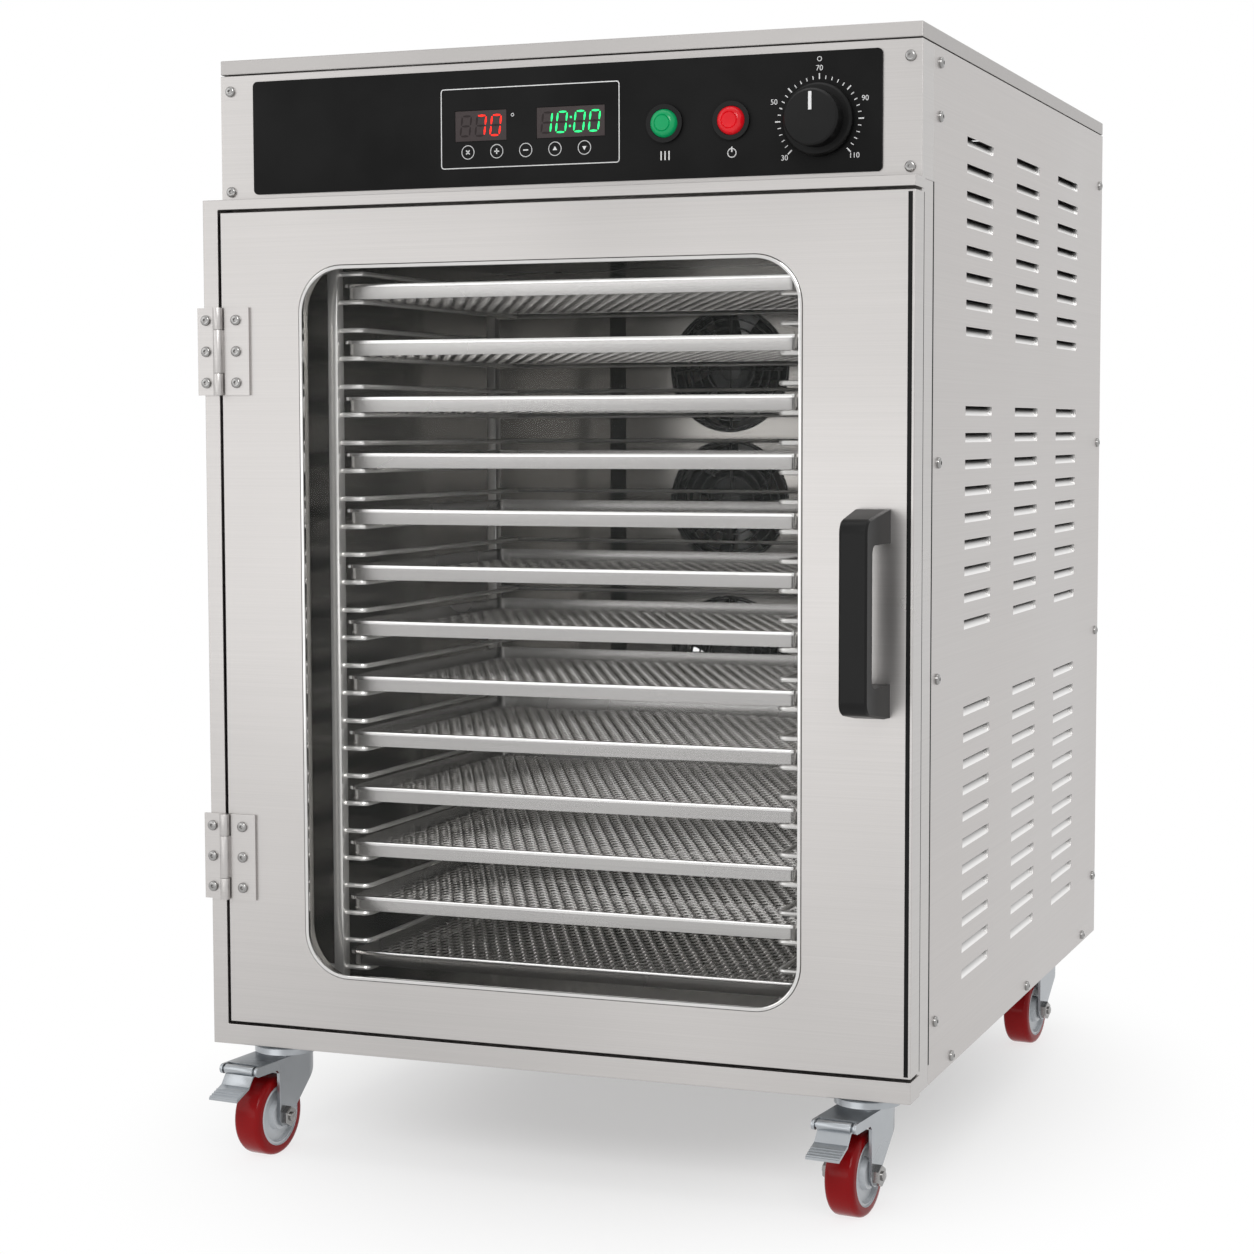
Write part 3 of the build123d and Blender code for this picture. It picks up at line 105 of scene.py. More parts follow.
class Finish:
    """A node material under construction: the shader plus short names for the nodes it uses."""

    def __init__(self, name, color, metallic=0.0, roughness=0.5):
        self.material = bpy.data.materials.new(name)
        self.material.use_nodes = True
        self.nodes = self.material.node_tree.nodes
        self.links = self.material.node_tree.links
        self.shader = self.nodes["Principled BSDF"]
        self.shader.inputs["Base Color"].default_value = (*color, 1.0)
        self.shader.inputs["Metallic"].default_value = metallic
        self.shader.inputs["Roughness"].default_value = roughness
        self.place = self.nodes.new("ShaderNodeTexCoord").outputs["Object"]

    def grain(self, scale, detail=3.0):
        """Noise on the object's own coordinates, stretched by a scale for each axis."""
        mapping = self.nodes.new("ShaderNodeMapping")
        mapping.inputs["Scale"].default_value = scale
        noise = self.nodes.new("ShaderNodeTexNoise")
        noise.inputs["Scale"].default_value = 1.0
        noise.inputs["Detail"].default_value = detail
        self.links.new(self.place, mapping.inputs["Vector"])
        self.links.new(mapping.outputs["Vector"], noise.inputs["Vector"])
        return noise.outputs["Fac"]

    def between(self, value, start, end, first=0.0, last=1.0):
        """Runs from first to last while a value runs from start to end."""
        span = self.nodes.new("ShaderNodeMapRange")
        span.inputs["From Min"].default_value = start
        span.inputs["From Max"].default_value = end
        span.inputs["To Min"].default_value = first
        span.inputs["To Max"].default_value = last
        self.links.new(value, span.inputs["Value"])
        return span.outputs["Result"]

    def spread(self, noise, lowest, highest):
        """A noise spread between two values."""
        return self.between(noise, NOISE_LOW, NOISE_HIGH, lowest, highest)

    def mix(self, factor, first, second, way="MIX"):
        """A colour made of two, each of them a colour or what another node gives."""
        node = self.nodes.new("ShaderNodeMix")
        node.data_type = "RGBA"
        node.blend_type = way
        for socket, value in (("Factor", factor), ("A", first), ("B", second)):
            if isinstance(value, tuple):
                node.inputs[socket].default_value = (*value, 1.0)
            elif isinstance(value, float):
                node.inputs[socket].default_value = value
            else:
                self.links.new(value, node.inputs[socket])
        return node.outputs["Result"]

    def blend(self, noise, first, second):
        """A colour between two, by a noise."""
        return self.mix(self.spread(noise, 0.0, 1.0), first, second)

    def set_color(self, output):
        """Colours the shader by what a node gives."""
        self.links.new(output, self.shader.inputs["Base Color"])

    def set_roughness(self, output):
        """Roughens the shader by what a node gives."""
        self.links.new(output, self.shader.inputs["Roughness"])

    def bump(self, value, strength, distance):
        """Raises and lowers the surface a little by a pattern."""
        node = self.nodes.new("ShaderNodeBump")
        node.inputs["Strength"].default_value = strength
        node.inputs["Distance"].default_value = distance
        self.links.new(value, node.inputs["Height"])
        self.links.new(node.outputs["Normal"], self.shader.inputs["Normal"])

    def brush(self, scale, color, rough):
        """Fine brushed lines over slow clouds of tone and roughness; gives back the colour."""
        lines = self.grain(scale, detail=4.0)
        clouds = self.grain(even(3.0), detail=2.0)
        darker = tuple(c * 0.96 for c in color)
        lighter = tuple(min(1.0, c * 1.04) for c in color)
        tone = self.blend(clouds, even(0.90), even(1.0))
        brushed = self.mix(1.0, self.blend(lines, darker, lighter), tone, "MULTIPLY")
        self.set_color(brushed)
        self.set_roughness(self.spread(clouds, *rough))
        self.bump(lines, BRUSH_STRENGTH, BRUSH_DEPTH)
        return brushed

    def set(self, socket, value):
        """Sets one socket of the shader to a constant."""
        self.shader.inputs[socket].default_value = value
        return self


def brushed_steel(name, scale, color, rough=(0.26, 0.40), metal=1.0):
    """Sheet steel brushed along the axes that have the small scale."""
    finish = Finish(name, color, metallic=metal)
    finish.brush(scale, color, rough)
    return finish.material


def pressed_steel(name, scale, color, rough, outer_x, depth):
    """Brushed steel whose louvre pockets carry painted shade that deepens inwards and a painted highlight
    at the lip.
    """
    finish = Finish(name, color, metallic=1.0)
    brushed = finish.brush(scale, color, rough)
    split = finish.nodes.new("ShaderNodeSeparateXYZ")
    finish.links.new(finish.place, split.inputs[0])
    reach = finish.nodes.new("ShaderNodeMath")
    reach.operation = "ABSOLUTE"
    finish.links.new(split.outputs["X"], reach.inputs[0])
    out = reach.outputs[0]
    # Painted shade that deepens into the pocket, with a painted highlight near the lip; the flush sheet
    # stays plain.
    pocket = finish.between(out, outer_x - POCKET_END * depth, outer_x - POCKET_START * depth)
    pocket_painted_shade_and_highlight = finish.mix(pocket, POCKET_PAINTED_SHADE, LIP_PAINTED_HIGHLIGHT)
    flush = finish.between(out, outer_x - FLUSH_END, outer_x - FLUSH_START)
    finish.set_color(finish.mix(flush, pocket_painted_shade_and_highlight, brushed))
    return finish.material


def plain_plastic(name, color, rough, speckle=900.0, bump=0.05, shine=0.5):
    """Moulded plastic with a fine, even texture."""
    finish = Finish(name, color)
    fine = finish.grain(even(speckle), detail=2.0)
    wear = finish.grain(even(14.0), detail=3.0)
    lighter = tuple(min(1.0, c * 1.25 + 0.004) for c in color)
    finish.set_color(finish.blend(wear, color, lighter))
    finish.set_roughness(finish.spread(wear, rough * 0.85, rough * 1.15))
    finish.bump(fine, bump, SPECKLE_DEPTH)
    finish.set("Specular IOR Level", shine)
    return finish.material


def lens(name, color, glow):
    """A coloured, lit lens."""
    finish = Finish(name, color, roughness=0.18)
    swirl = finish.grain(even(60.0), detail=1.0)
    bright = tuple(min(1.0, c * 1.15 + 0.005) for c in color)
    finish.set_color(finish.blend(swirl, color, bright))
    finish.set("Emission Color", (*color, 1.0)).set("Emission Strength", glow)
    finish.set("Specular IOR Level", 0.25)
    finish.set("Coat Weight", 0.15)
    return finish.material


def window_pane():
    """Clear thin glass with a faint haze, which lets the light through to the trays."""
    finish = Finish("glass_pane", (0.10, 0.105, 0.10), roughness=0.02)
    haze = finish.grain(even(5.0), detail=2.0)
    finish.set_roughness(finish.spread(haze, 0.005, 0.02))
    finish.set("Alpha", 0.05)
    return finish.material


def lit(name, color, strength=0.0):
    """A glowing digit, or a printed mark where no strength is given."""
    finish = Finish(name, color, roughness=0.5)
    grain = finish.grain(even(700.0), detail=1.0)
    finish.set_color(finish.blend(grain, tuple(c * 0.9 for c in color), color))
    if strength:
        finish.set("Emission Color", (*color, 1.0)).set("Emission Strength", strength)
    finish.set("Specular IOR Level", 0.05)
    return finish.material


LINES_ACROSS = (5.0, 5.0, 2600.0)
LINES_ON_LID = (5.0, 2600.0, 5.0)
LINES_ON_TRAY = (5.0, 700.0, 2600.0)
LINES_IN_CHAMBER = (5.0, 5.0, 1200.0)
STEEL = (0.50, 0.483, 0.472)
STEEL_SIDE_TONE = (0.50, 0.478, 0.466)
# A darker copy of the steel for the top cover and base pan: painted shade.
LID_PAINTED_SHADE_TONE = (0.44, 0.425, 0.415)
# A darker copy of the steel for the inside of the chamber: painted shade.
CHAMBER_PAINTED_SHADE_TONE = (0.40, 0.385, 0.365)
SIDE_ROUGH = (0.30, 0.42)
LOUVRE_DEPTH = 6.5 * MM

STEEL_FRONT = brushed_steel("steel_brushed_across", LINES_ACROSS, STEEL)
# The side panels' steel carries painted shade in the louvre pockets and a painted highlight at their lip.
STEEL_SIDE = pressed_steel("steel_side_painted_pocket_shade", LINES_ACROSS, STEEL_SIDE_TONE, SIDE_ROUGH,
                           high("right_side_panel").x, LOUVRE_DEPTH)
STEEL_BACK = brushed_steel("steel_brushed_back", LINES_ACROSS, STEEL_SIDE_TONE, SIDE_ROUGH)
STEEL_TOP = brushed_steel("steel_lid_painted_shade", LINES_ON_LID, LID_PAINTED_SHADE_TONE, (0.40, 0.52))
STEEL_CHAMBER = brushed_steel("steel_chamber_painted_shade", LINES_IN_CHAMBER, CHAMBER_PAINTED_SHADE_TONE, (0.14, 0.24))
WIRE_STEEL = brushed_steel("steel_wire", even(60.0), (0.78, 0.77, 0.75), (0.14, 0.24), 0.6)
# A darker copy of the steel for the screw heads, as painted shade; the axle bolts share it.
SCREW_STEEL_PAINTED_SHADE = brushed_steel("steel_screws_painted_shade", even(60.0), (0.33, 0.325, 0.32), (0.12, 0.22))
MESH_STEEL = brushed_steel("steel_woven_mesh", even(90.0), (0.86, 0.845, 0.825), (0.14, 0.24), 0.85)
TRAY_STEEL = brushed_steel("steel_tray", LINES_ON_TRAY, (0.53, 0.52, 0.51), (0.20, 0.32))
# A far brighter copy of the tray steel for the rolled rim: painted highlight.
TRAY_RIM_PAINTED_HIGHLIGHT = brushed_steel("steel_tray_rim_painted_highlight", LINES_ON_TRAY, (0.86, 0.85, 0.84), (0.14, 0.22))
RIM_STEEL = brushed_steel("steel_polished", even(20.0), (0.68, 0.67, 0.66), (0.08, 0.14))
ZINC = brushed_steel("steel_zinc_plated", even(40.0), (0.40, 0.42, 0.44), (0.22, 0.34))
HEATER = brushed_steel("aluminium_fins", even(30.0), even(0.60), (0.3, 0.4))
BLACK_SATIN = plain_plastic("plastic_black_satin", even(0.003), 0.34, shine=0.18)
BLACK_GLOSS = plain_plastic("plastic_black_gloss", even(0.003), 0.20, bump=0.02, shine=0.25)
BLACK_PANEL = plain_plastic("panel_black", even(0.006), 0.42, bump=0.03, shine=0.08)
WIRE_BLACK = plain_plastic("wire_black", even(0.030), 0.26, speckle=500.0, shine=0.8)
# A near-black sheet put into grooves, gaps and seams as painted shade.
SEAM_PAINTED_SHADE = plain_plastic("seam_painted_shade", even(0.006), 0.6, speckle=400.0, shine=0.1)
SILICONE = plain_plastic("silicone_grey", (0.36, 0.36, 0.35), 0.55)
BAKELITE = plain_plastic("thermostat_body", (0.20, 0.19, 0.17), 0.5)
TYRE_RED = plain_plastic("tyre_red", (0.20, 0.002, 0.003), 0.16, speckle=300.0, bump=0.03, shine=0.12)
HUB_GREY = plain_plastic("hub_grey", (0.44, 0.46, 0.48), 0.38, speckle=400.0)
RED_LENS = lens("lens_red", (0.55, 0.004, 0.010), 0.22)
GREEN_LENS = lens("lens_green", (0.0, 0.26, 0.085), 0.22)
GLASS = window_pane()
DIGIT_RED = lit("digits_red", (1.0, 0.03, 0.02), 0.9)
DIGIT_GREEN = lit("digits_green", (0.03, 0.85, 0.22), 0.9)
PRINT_WHITE = lit("print_white", even(0.78))
WINDOW_SMOKE = lit("display_window", (0.066, 0.055, 0.055))
DIGIT_UNLIT = lit("digits_unlit", (0.036, 0.029, 0.029))


# ---------------- solids that stay
WELD_GAP = 0.01 * MM
SHARP_ANGLE = math.radians(40)


def dress(node, material, edge, steps):
    """Gives a solid its finish and, where an edge is given, rounds its corners by that radius."""
    solid = NODES[node]
    solid.data.materials.clear()
    solid.data.materials.append(material)
    if edge:
        weld = solid.modifiers.new("weld", "WELD")
        weld.merge_threshold = WELD_GAP
        bevel = solid.modifiers.new("soft_edges", "BEVEL")
        bevel.width = edge
        bevel.segments = steps
        bevel.limit_method = "ANGLE"
        bevel.angle_limit = SHARP_ANGLE


FORKS = [f"caster_fork_{corner}" for corner in CORNERS]
PEDALS = [f"brake_pedal_{corner}" for corner in CORNERS]
FANS = ("fan_impeller_1", "fan_impeller_2", "fan_impeller_3")

# Each row: finish, radius of the edges in millimetres, steps of the rounding, nodes.
DRESSING = (
    (STEEL_FRONT, 0.5, 2, ("front_frame", "control_fascia", "door_skin")),
    (STEEL_FRONT, 0.4, 2, ("hinge_leaves_frame", "hinge_leaves_door")),
    (STEEL_SIDE, 0.25, 1, ("left_side_panel", "right_side_panel")),
    (STEEL_BACK, 0.25, 1, ("back_panel",)),
    (STEEL_TOP, 0.8, 2, ("top_cover",)),
    (STEEL_TOP, 0.0, 0, ("base_pan",)),
    (STEEL_CHAMBER, 0.0, 0, ("door_liner", "chamber_liner", "fan_wall")),
    (RIM_STEEL, 0.9, 2, ("window_trim",)),
    (GLASS, 0.0, 0, ("window_glass",)),
    (SILICONE, 0.0, 0, ("door_seal",)),
    (BLACK_SATIN, 1.4, 3, ("door_handle",)),
    (BLACK_SATIN, 0.5, 2, ("temperature_knob", "cable_gland")),
    (BLACK_PANEL, 0.3, 2, ("control_overlay",)),
    (BLACK_GLOSS, 0.0, 0, ("display_module",)),
    (BLACK_GLOSS, 0.6, 2, ("lamp_bezels",)),
    (BLACK_GLOSS, 0.4, 1, ("fan_housings", *FANS)),
    (BAKELITE, 0.0, 0, ("thermostat",)),
    (HEATER, 0.0, 0, ("heater_element",)),
    (ZINC, 0.3, 2, ("caster_plates", *PEDALS)),
    (ZINC, 0.4, 2, FORKS),
)

for material, edge, steps, nodes in DRESSING:
    for node in nodes:
        dress(node, material, edge * MM, steps)


# ---------------- modelling
MERGE_GAP = 0.05 * MM
CORNER_STEPS = 5
UPRIGHT = (math.pi / 2, 0.0, 0.0)


def take(*pieces):
    """Selects the given pieces alone, with the first one active."""
    bpy.ops.object.select_all(action="DESELECT")
    for piece in pieces:
        piece.select_set(True)
    bpy.context.view_layer.objects.active = pieces[0]


def edit(piece):
    """Opens one piece alone in edit mode with nothing selected."""
    take(piece)
    bpy.ops.object.mode_set(mode="EDIT")
    bpy.ops.mesh.select_all(action="DESELECT")


def pick(piece, kind, test):
    """Selects the vertices, edges or faces of the piece in edit mode that pass a test."""
    bpy.ops.object.mode_set(mode="OBJECT")
    mesh = piece.data
    for part in (mesh.vertices, mesh.edges, mesh.polygons):
        for item in part:
            item.select = False
    chosen = {"VERT": mesh.vertices, "EDGE": mesh.edges, "FACE": mesh.polygons}[kind]
    for item in chosen:
        item.select = test(item)
    bpy.ops.object.mode_set(mode="EDIT")
    bpy.ops.mesh.select_mode(type=kind)


def leave_edit():
    """Goes back to object mode."""
    bpy.ops.object.mode_set(mode="OBJECT")


def edge_ends(piece, edge):
    """Where the two ends of an edge are."""
    return [piece.data.vertices[i].co for i in edge.vertices]


def settle(piece):
    """Puts the piece's place into its mesh."""
    take(piece)
    bpy.ops.object.transform_apply(location=True, rotation=True, scale=True)
    return piece


def apply_all(piece):
    """Applies every modifier of the piece."""
    take(piece)
    for modifier in list(piece.modifiers):
        bpy.ops.object.modifier_apply(modifier=modifier.name)
    return piece


def join(pieces):
    """Joins pieces into the first one."""
    take(*pieces)
    if len(pieces) > 1:
        bpy.ops.object.join()
    return pieces[0]


def twin(piece, offset=(0.0, 0.0, 0.0), matrix=None):
    """A copy of the piece with its own mesh, moved by an offset or a matrix."""
    copy = piece.copy()
    copy.data = piece.data.copy()
    bpy.context.scene.collection.objects.link(copy)
    copy.data.transform(matrix if matrix else Matrix.Translation(Vector(offset)))
    return copy


def spin(piece, centre, angle):
    """Turns the mesh of a piece about a line through the centre that runs from front to back."""
    there = Matrix.Translation(centre)
    back = Matrix.Translation(-centre)
    piece.data.transform(there @ Matrix.Rotation(angle, 4, "Y") @ back)
    return piece


def hand_over(piece, name, material, body, slot, *nodes, angle=35):
    """Names a finished piece, gives it its material and body, and hides what it replaces. The slot is not
    used.
    """
    piece.name = name
    if material:
        piece.data.materials.clear()
        piece.data.materials.append(material)
    take(piece)
    bpy.ops.object.shade_smooth_by_angle(angle=math.radians(angle))
    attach(piece, body)
    if nodes:
        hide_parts(*nodes)
    return piece


def soften(piece, width, steps=2):
    """Bevels every edge of the piece."""
    edit(piece)
    bpy.ops.mesh.select_all(action="SELECT")
    bpy.ops.mesh.bevel(offset=width, segments=steps, affect="EDGES")
    leave_edit()
    return piece


def box(x0, x1, y0, y1, z0, z1, edge=0.0):
    """A block between two corners, with its edges bevelled where an edge is given."""
    bpy.ops.mesh.primitive_cube_add(size=1.0, location=((x0 + x1) / 2, (y0 + y1) / 2, (z0 + z1) / 2))
    piece = bpy.context.object
    piece.scale = (abs(x1 - x0), abs(y1 - y0), abs(z1 - z0))
    settle(piece)
    return soften(piece, edge) if edge else piece


def rounded_sheet(centre, wide, deep, corner, rotation=(0.0, 0.0, 0.0)):
    """A flat sheet with rounded corners, left in edit mode with its face selected."""
    bpy.ops.mesh.primitive_plane_add(size=1.0, location=centre, rotation=rotation)
    sheet = bpy.context.object
    sheet.scale = (wide, deep, 1.0)
    settle(sheet)
    edit(sheet)
    bpy.ops.mesh.select_all(action="SELECT")
    bpy.ops.mesh.bevel(offset=corner, segments=CORNER_STEPS, affect="VERTICES")
    bpy.ops.mesh.select_mode(type="FACE")
    bpy.ops.mesh.select_all(action="SELECT")
    return sheet


def rod(start, end, radius, sides=8):
    """A round bar between two points."""
    start, end = Vector(start), Vector(end)
    bpy.ops.mesh.primitive_cylinder_add(vertices=sides, radius=radius, depth=(end - start).length,
                                        location=(start + end) / 2)
    piece = bpy.context.object
    piece.rotation_euler = (end - start).to_track_quat("Z", "Y").to_euler()
    return settle(piece)


def ring(centre, radius, wire, around=48, sides=6):
    """A wire ring that faces the front."""
    bpy.ops.mesh.primitive_torus_add(major_radius=radius, minor_radius=wire, major_segments=around,
                                     minor_segments=sides, location=centre)
    piece = bpy.context.object
    piece.rotation_euler = UPRIGHT
    return settle(piece)


def row(piece, count, offset, merge=False):
    """Repeats the piece in a row."""
    array = piece.modifiers.new("row", "ARRAY")
    array.count = count
    array.use_relative_offset = False
    array.use_constant_offset = True
    array.constant_offset_displace = offset
    array.use_merge_vertices = merge
    array.merge_threshold = MERGE_GAP
    return apply_all(piece)


# ---------------- trays
LIP_W = 2.8 * MM
RIM_H = 2.6 * MM
RIM_ROLL = 0.95 * MM
RIM_STEPS = 3
RIM_ANGLE = math.radians(50)
TRAY_WALL = 0.8 * MM
CORNER_R = 8 * MM
MESH_ACROSS = 5.6 * MM
MESH_DEEP = 11.0 * MM
MESH_WIRE = 0.65 * MM
MESH_WAVE = 0.85 * MM


def lift(height):
    """Extrudes what is selected upwards."""
    bpy.ops.mesh.extrude_region_move(TRANSFORM_OT_translate={"value": (0, 0, height)})


def tray_frame(node):
    """A pan without a floor: wall with rounded corners, rolled rim that stands out, inner wall."""
    lowest, highest = low(node), high(node)
    centre = (lowest + highest) / 2
    size = highest - lowest
    wall = (size.x - 2 * LIP_W, size.y - 2 * LIP_W)
    pan = rounded_sheet((centre.x, centre.y, lowest.z), *wall, CORNER_R)
    lift(size.z - RIM_H)
    lift(0)
    bpy.ops.transform.resize(value=(size.x / wall[0], size.y / wall[1], 1.0), center_override=centre)
    lift(RIM_H)
    bpy.ops.mesh.inset(thickness=LIP_W + TRAY_WALL)
    lift(-size.z)
    bpy.ops.mesh.delete(type="ONLY_FACE")
    pick(pan, "FACE", lambda face: abs(face.normal.z) > FACING and face.center.z < lowest.z + NEAR)
    bpy.ops.mesh.delete(type="ONLY_FACE")
    pick(pan, "EDGE", lambda edge: all(end.z < lowest.z + NEAR / 2 for end in edge_ends(pan, edge)))
    bpy.ops.mesh.bridge_edge_loops()
    bpy.ops.mesh.select_all(action="SELECT")
    bpy.ops.mesh.normals_make_consistent(inside=False)
    leave_edit()
    roll = pan.modifiers.new("rolled_rim", "BEVEL")
    roll.width = RIM_ROLL
    roll.segments = RIM_STEPS
    roll.limit_method = "ANGLE"
    roll.angle_limit = RIM_ANGLE
    return apply_all(pan)


def waving_wire(start, way, side, half_wave, rise):
    """One wave of a mesh wire: its middle is lifted and its two ends are lowered."""
    end = start + way * 2 * half_wave
    wide = side * MESH_WIRE
    wire = box(start.x - wide.x, end.x + wide.x, start.y - wide.y, end.y + wide.y,
               start.z - MESH_WIRE, start.z + MESH_WIRE)
    at_middle = start.dot(way) + half_wave

    def runs_along(edge):
        first, last = edge_ends(wire, edge)
        return abs((first - last).dot(way)) > half_wave

    def from_middle(vertex):
        return abs(vertex.co.dot(way) - at_middle)

    edit(wire)
    pick(wire, "EDGE", runs_along)
    bpy.ops.mesh.subdivide(number_cuts=1)
    pick(wire, "FACE", lambda face: abs(face.normal.dot(way)) > FACING)
    bpy.ops.mesh.delete(type="ONLY_FACE")
    pick(wire, "VERT", lambda vertex: from_middle(vertex) < half_wave / 2)
    bpy.ops.transform.translate(value=(0, 0, rise))
    pick(wire, "VERT", lambda vertex: from_middle(vertex) > half_wave / 2)
    bpy.ops.transform.translate(value=(0, 0, -rise))
    leave_edit()
    return wire


def mesh_wires(x0, x1, y0, y1, z, along_x):
    """All the wires of one direction: each waves up and down, and neighbours wave against each other."""
    length, across = (x1 - x0, y1 - y0) if along_x else (y1 - y0, x1 - x0)
    step, gap = (MESH_ACROSS, MESH_DEEP) if along_x else (MESH_DEEP, MESH_ACROSS)
    waves = int(length / (2 * step))
    lanes = int(across / (2 * gap))
    half_wave = length / (2 * waves)
    lane = across / (2 * lanes)
    start = Vector((x0, y0 + lane / 2, z)) if along_x else Vector((x0 + lane / 2, y0, z))
    way = Vector((1, 0, 0)) if along_x else Vector((0, 1, 0))
    side = Vector((0, 1, 0)) if along_x else Vector((1, 0, 0))
    rise = MESH_WAVE if along_x else -MESH_WAVE
    pair = []
    for shift, lifted in ((Vector(), rise), (side * lane, -rise)):
        wire = waving_wire(start + shift, way, side, half_wave, lifted)
        pair.append(row(wire, waves, way * 2 * half_wave, merge=True))
    return row(join(pair), lanes, side * 2 * lane)


def tray(node):
    """A framed tray with a woven mesh floor."""
    lowest, highest = low(node), high(node)
    inside = LIP_W + TRAY_WALL / 2
    z = lowest.z + MESH_WAVE + MESH_WIRE
    span = (lowest.x + inside, highest.x - inside, lowest.y + inside, highest.y - inside, z)
    pan = tray_frame(node)
    weave = join([mesh_wires(*span, True), mesh_wires(*span, False)])
    pan.data.materials.append(TRAY_STEEL)
    pan.data.materials.append(TRAY_RIM_PAINTED_HIGHLIGHT)
    # The rim's faces take the painted highlight, and the rest keeps the tray steel.
    for face in pan.data.polygons:
        face.material_index = 1 if face.center.z > highest.z - RIM_H - NEAR else 0
    weave.data.materials.append(MESH_STEEL)
    return join([pan, weave])


def add_trays():
    """One tray is modelled and copied to the other levels."""
    first = tray(TRAYS[0])
    copies = [(name, twin(first, (0, 0, low(name).z - low(TRAYS[0]).z))) for name in TRAYS[1:]]
    for name, piece in [(TRAYS[0], first), *copies]:
        hand_over(piece, f"mesh_{name}", None, f"{name}_body", "stainless", name)


# ---------------- racks
WIRE_R = 2 * MM
CROSS_R = 1.6 * MM
POST_W = 9 * MM
POST_D = 12 * MM
POST_EDGE = 1.2 * MM
STAY_H = 10 * MM
STAY_INSET = 2 * MM
STAY_EDGE = 0.8 * MM
RUNNER_REACH = 31 * MM
RUNNER_BEND = 6 * MM
BEND_STEPS = 4
TRAY_GAP = 0.3 * MM


def runner_levels():
    """Height of the lowest runner, and from one runner to the next."""
    first, second = low(TRAYS[0]), low(TRAYS[1])
    return first.z - TRAY_GAP - WIRE_R, (second.z - first.z) / 2


def runner_path(post_x, runner_x, side, y0, y1):
    """The runner seen from above: out of the front post, round a bend, back, and into the rear post."""
    bend_x = runner_x + side * RUNNER_BEND
    turns = [math.pi / 2 * i / BEND_STEPS for i in range(1, BEND_STEPS)]
    path = [(post_x, y0), (bend_x, y0)]
    for turn in turns:
        path.append((runner_x + side * RUNNER_BEND * (1 - math.sin(turn)),
                     y0 + RUNNER_BEND * (1 - math.cos(turn))))
    path += [(runner_x, y0 + RUNNER_BEND), (runner_x, y1 - RUNNER_BEND)]
    for turn in turns:
        path.append((runner_x + side * RUNNER_BEND * (1 - math.cos(turn)),
                     y1 - RUNNER_BEND * (1 - math.sin(turn))))
    return path + [(bend_x, y1), (post_x, y1)]


def bent_wire(path, z, radius):
    """A round wire along a flat path."""
    curve = bpy.data.curves.new("runner", "CURVE")
    curve.dimensions = "3D"
    curve.bevel_depth = radius
    curve.bevel_resolution = 2
    curve.use_fill_caps = True
    line = curve.splines.new("POLY")
    line.points.add(len(path) - 1)
    for point, (x, y) in zip(line.points, path):
        point.co = (x, y, z, 1.0)
    wire = bpy.data.objects.new("runner", curve)
    bpy.context.scene.collection.objects.link(wire)
    take(wire)
    bpy.ops.object.convert(target="MESH")
    return bpy.context.object


def rack_side(node, side):
    """Two posts with stays, and the bent runner wires between them."""
    lowest, highest = low(node), high(node)
    wall_x = lowest.x if side < 0 else highest.x
    inner_x = highest.x if side < 0 else lowest.x
    post_x = inner_x + side * (RUNNER_REACH - POST_W)
    outer_x = post_x + side * POST_W
    pieces = []
    for y in (lowest.y, highest.y - POST_D):
        pieces.append(box(post_x, outer_x, y, y + POST_D, lowest.z, highest.z, edge=POST_EDGE))
        for z in (lowest.z, highest.z - STAY_H):
            pieces.append(box(outer_x, wall_x, y + STAY_INSET, y + POST_D - STAY_INSET, z, z + STAY_H,
                              edge=STAY_EDGE))
    first, pitch = runner_levels()
    path = runner_path(post_x, inner_x + side * WIRE_R, side,
                       lowest.y + POST_D / 2, highest.y - POST_D / 2)
    runner = row(bent_wire(path, first, WIRE_R), 2 * len(TRAYS), (0, 0, pitch))
    return join([*pieces, runner])


def add_racks():
    """The two racks, and the wires that cross from one to the other at the rear."""
    for node, side in (("rack_left", -1), ("rack_right", 1)):
        hand_over(rack_side(node, side), f"wire_{node}", WIRE_STEEL, "cabinet", "stainless", node)
    left, right = high("rack_left"), low("rack_right")
    post = RUNNER_REACH - POST_W
    first, pitch = runner_levels()
    y = left.y - POST_D / 2
    cross = rod((left.x - post, y, first), (right.x + post, y, first), CROSS_R)
    cross = row(cross, 2 * len(TRAYS), (0, 0, pitch))
    hand_over(cross, "rack_cross_wires", WIRE_STEEL, "cabinet", "stainless")


# ---------------- fans
GUARD_RADII = (15 * MM, 23 * MM, 31 * MM, 39 * MM, 47 * MM, 54.5 * MM)
GUARD_WIRE = 0.9 * MM
GUARD_BAR = 1.3 * MM
DISC_R = 11 * MM
DISC_BACK, DISC_FRONT = 1.2 * MM, 0.6 * MM
DISC_BORDER, DISC_RISE = 1.5 * MM, 0.4 * MM


def guard_disc(centre):
    """The middle disc of a guard, with a raised face."""
    disc = rod(centre - Vector((0, DISC_FRONT, 0)), centre + Vector((0, DISC_BACK, 0)), DISC_R, sides=32)
    edit(disc)
    pick(disc, "FACE", lambda face: face.normal.y < -FACING)
    bpy.ops.mesh.inset(thickness=DISC_BORDER, depth=DISC_RISE)
    leave_edit()
    return disc


def add_fan_guards():
    """Wire guards with rings and crossing bars in front of the fans."""
    centres = [middle(fan) for fan in FANS]
    first = centres[0]
    here = Vector((first.x, low("fan_housings").y + GUARD_WIRE, first.z))
    pieces = [ring(here, radius, GUARD_WIRE) for radius in GUARD_RADII]
    for way in (Vector((0, 0, 1)), Vector((1, 0, 0))):
        reach = way * GUARD_RADII[-1]
        pieces.append(rod(here - reach, here + reach, GUARD_BAR))
    guard = join([*pieces, guard_disc(here)])
    others = [twin(guard, centre - first) for centre in centres[1:]]
    hand_over(join([guard, *others]), "fan_guards", WIRE_BLACK, "cabinet", "black_plastic")


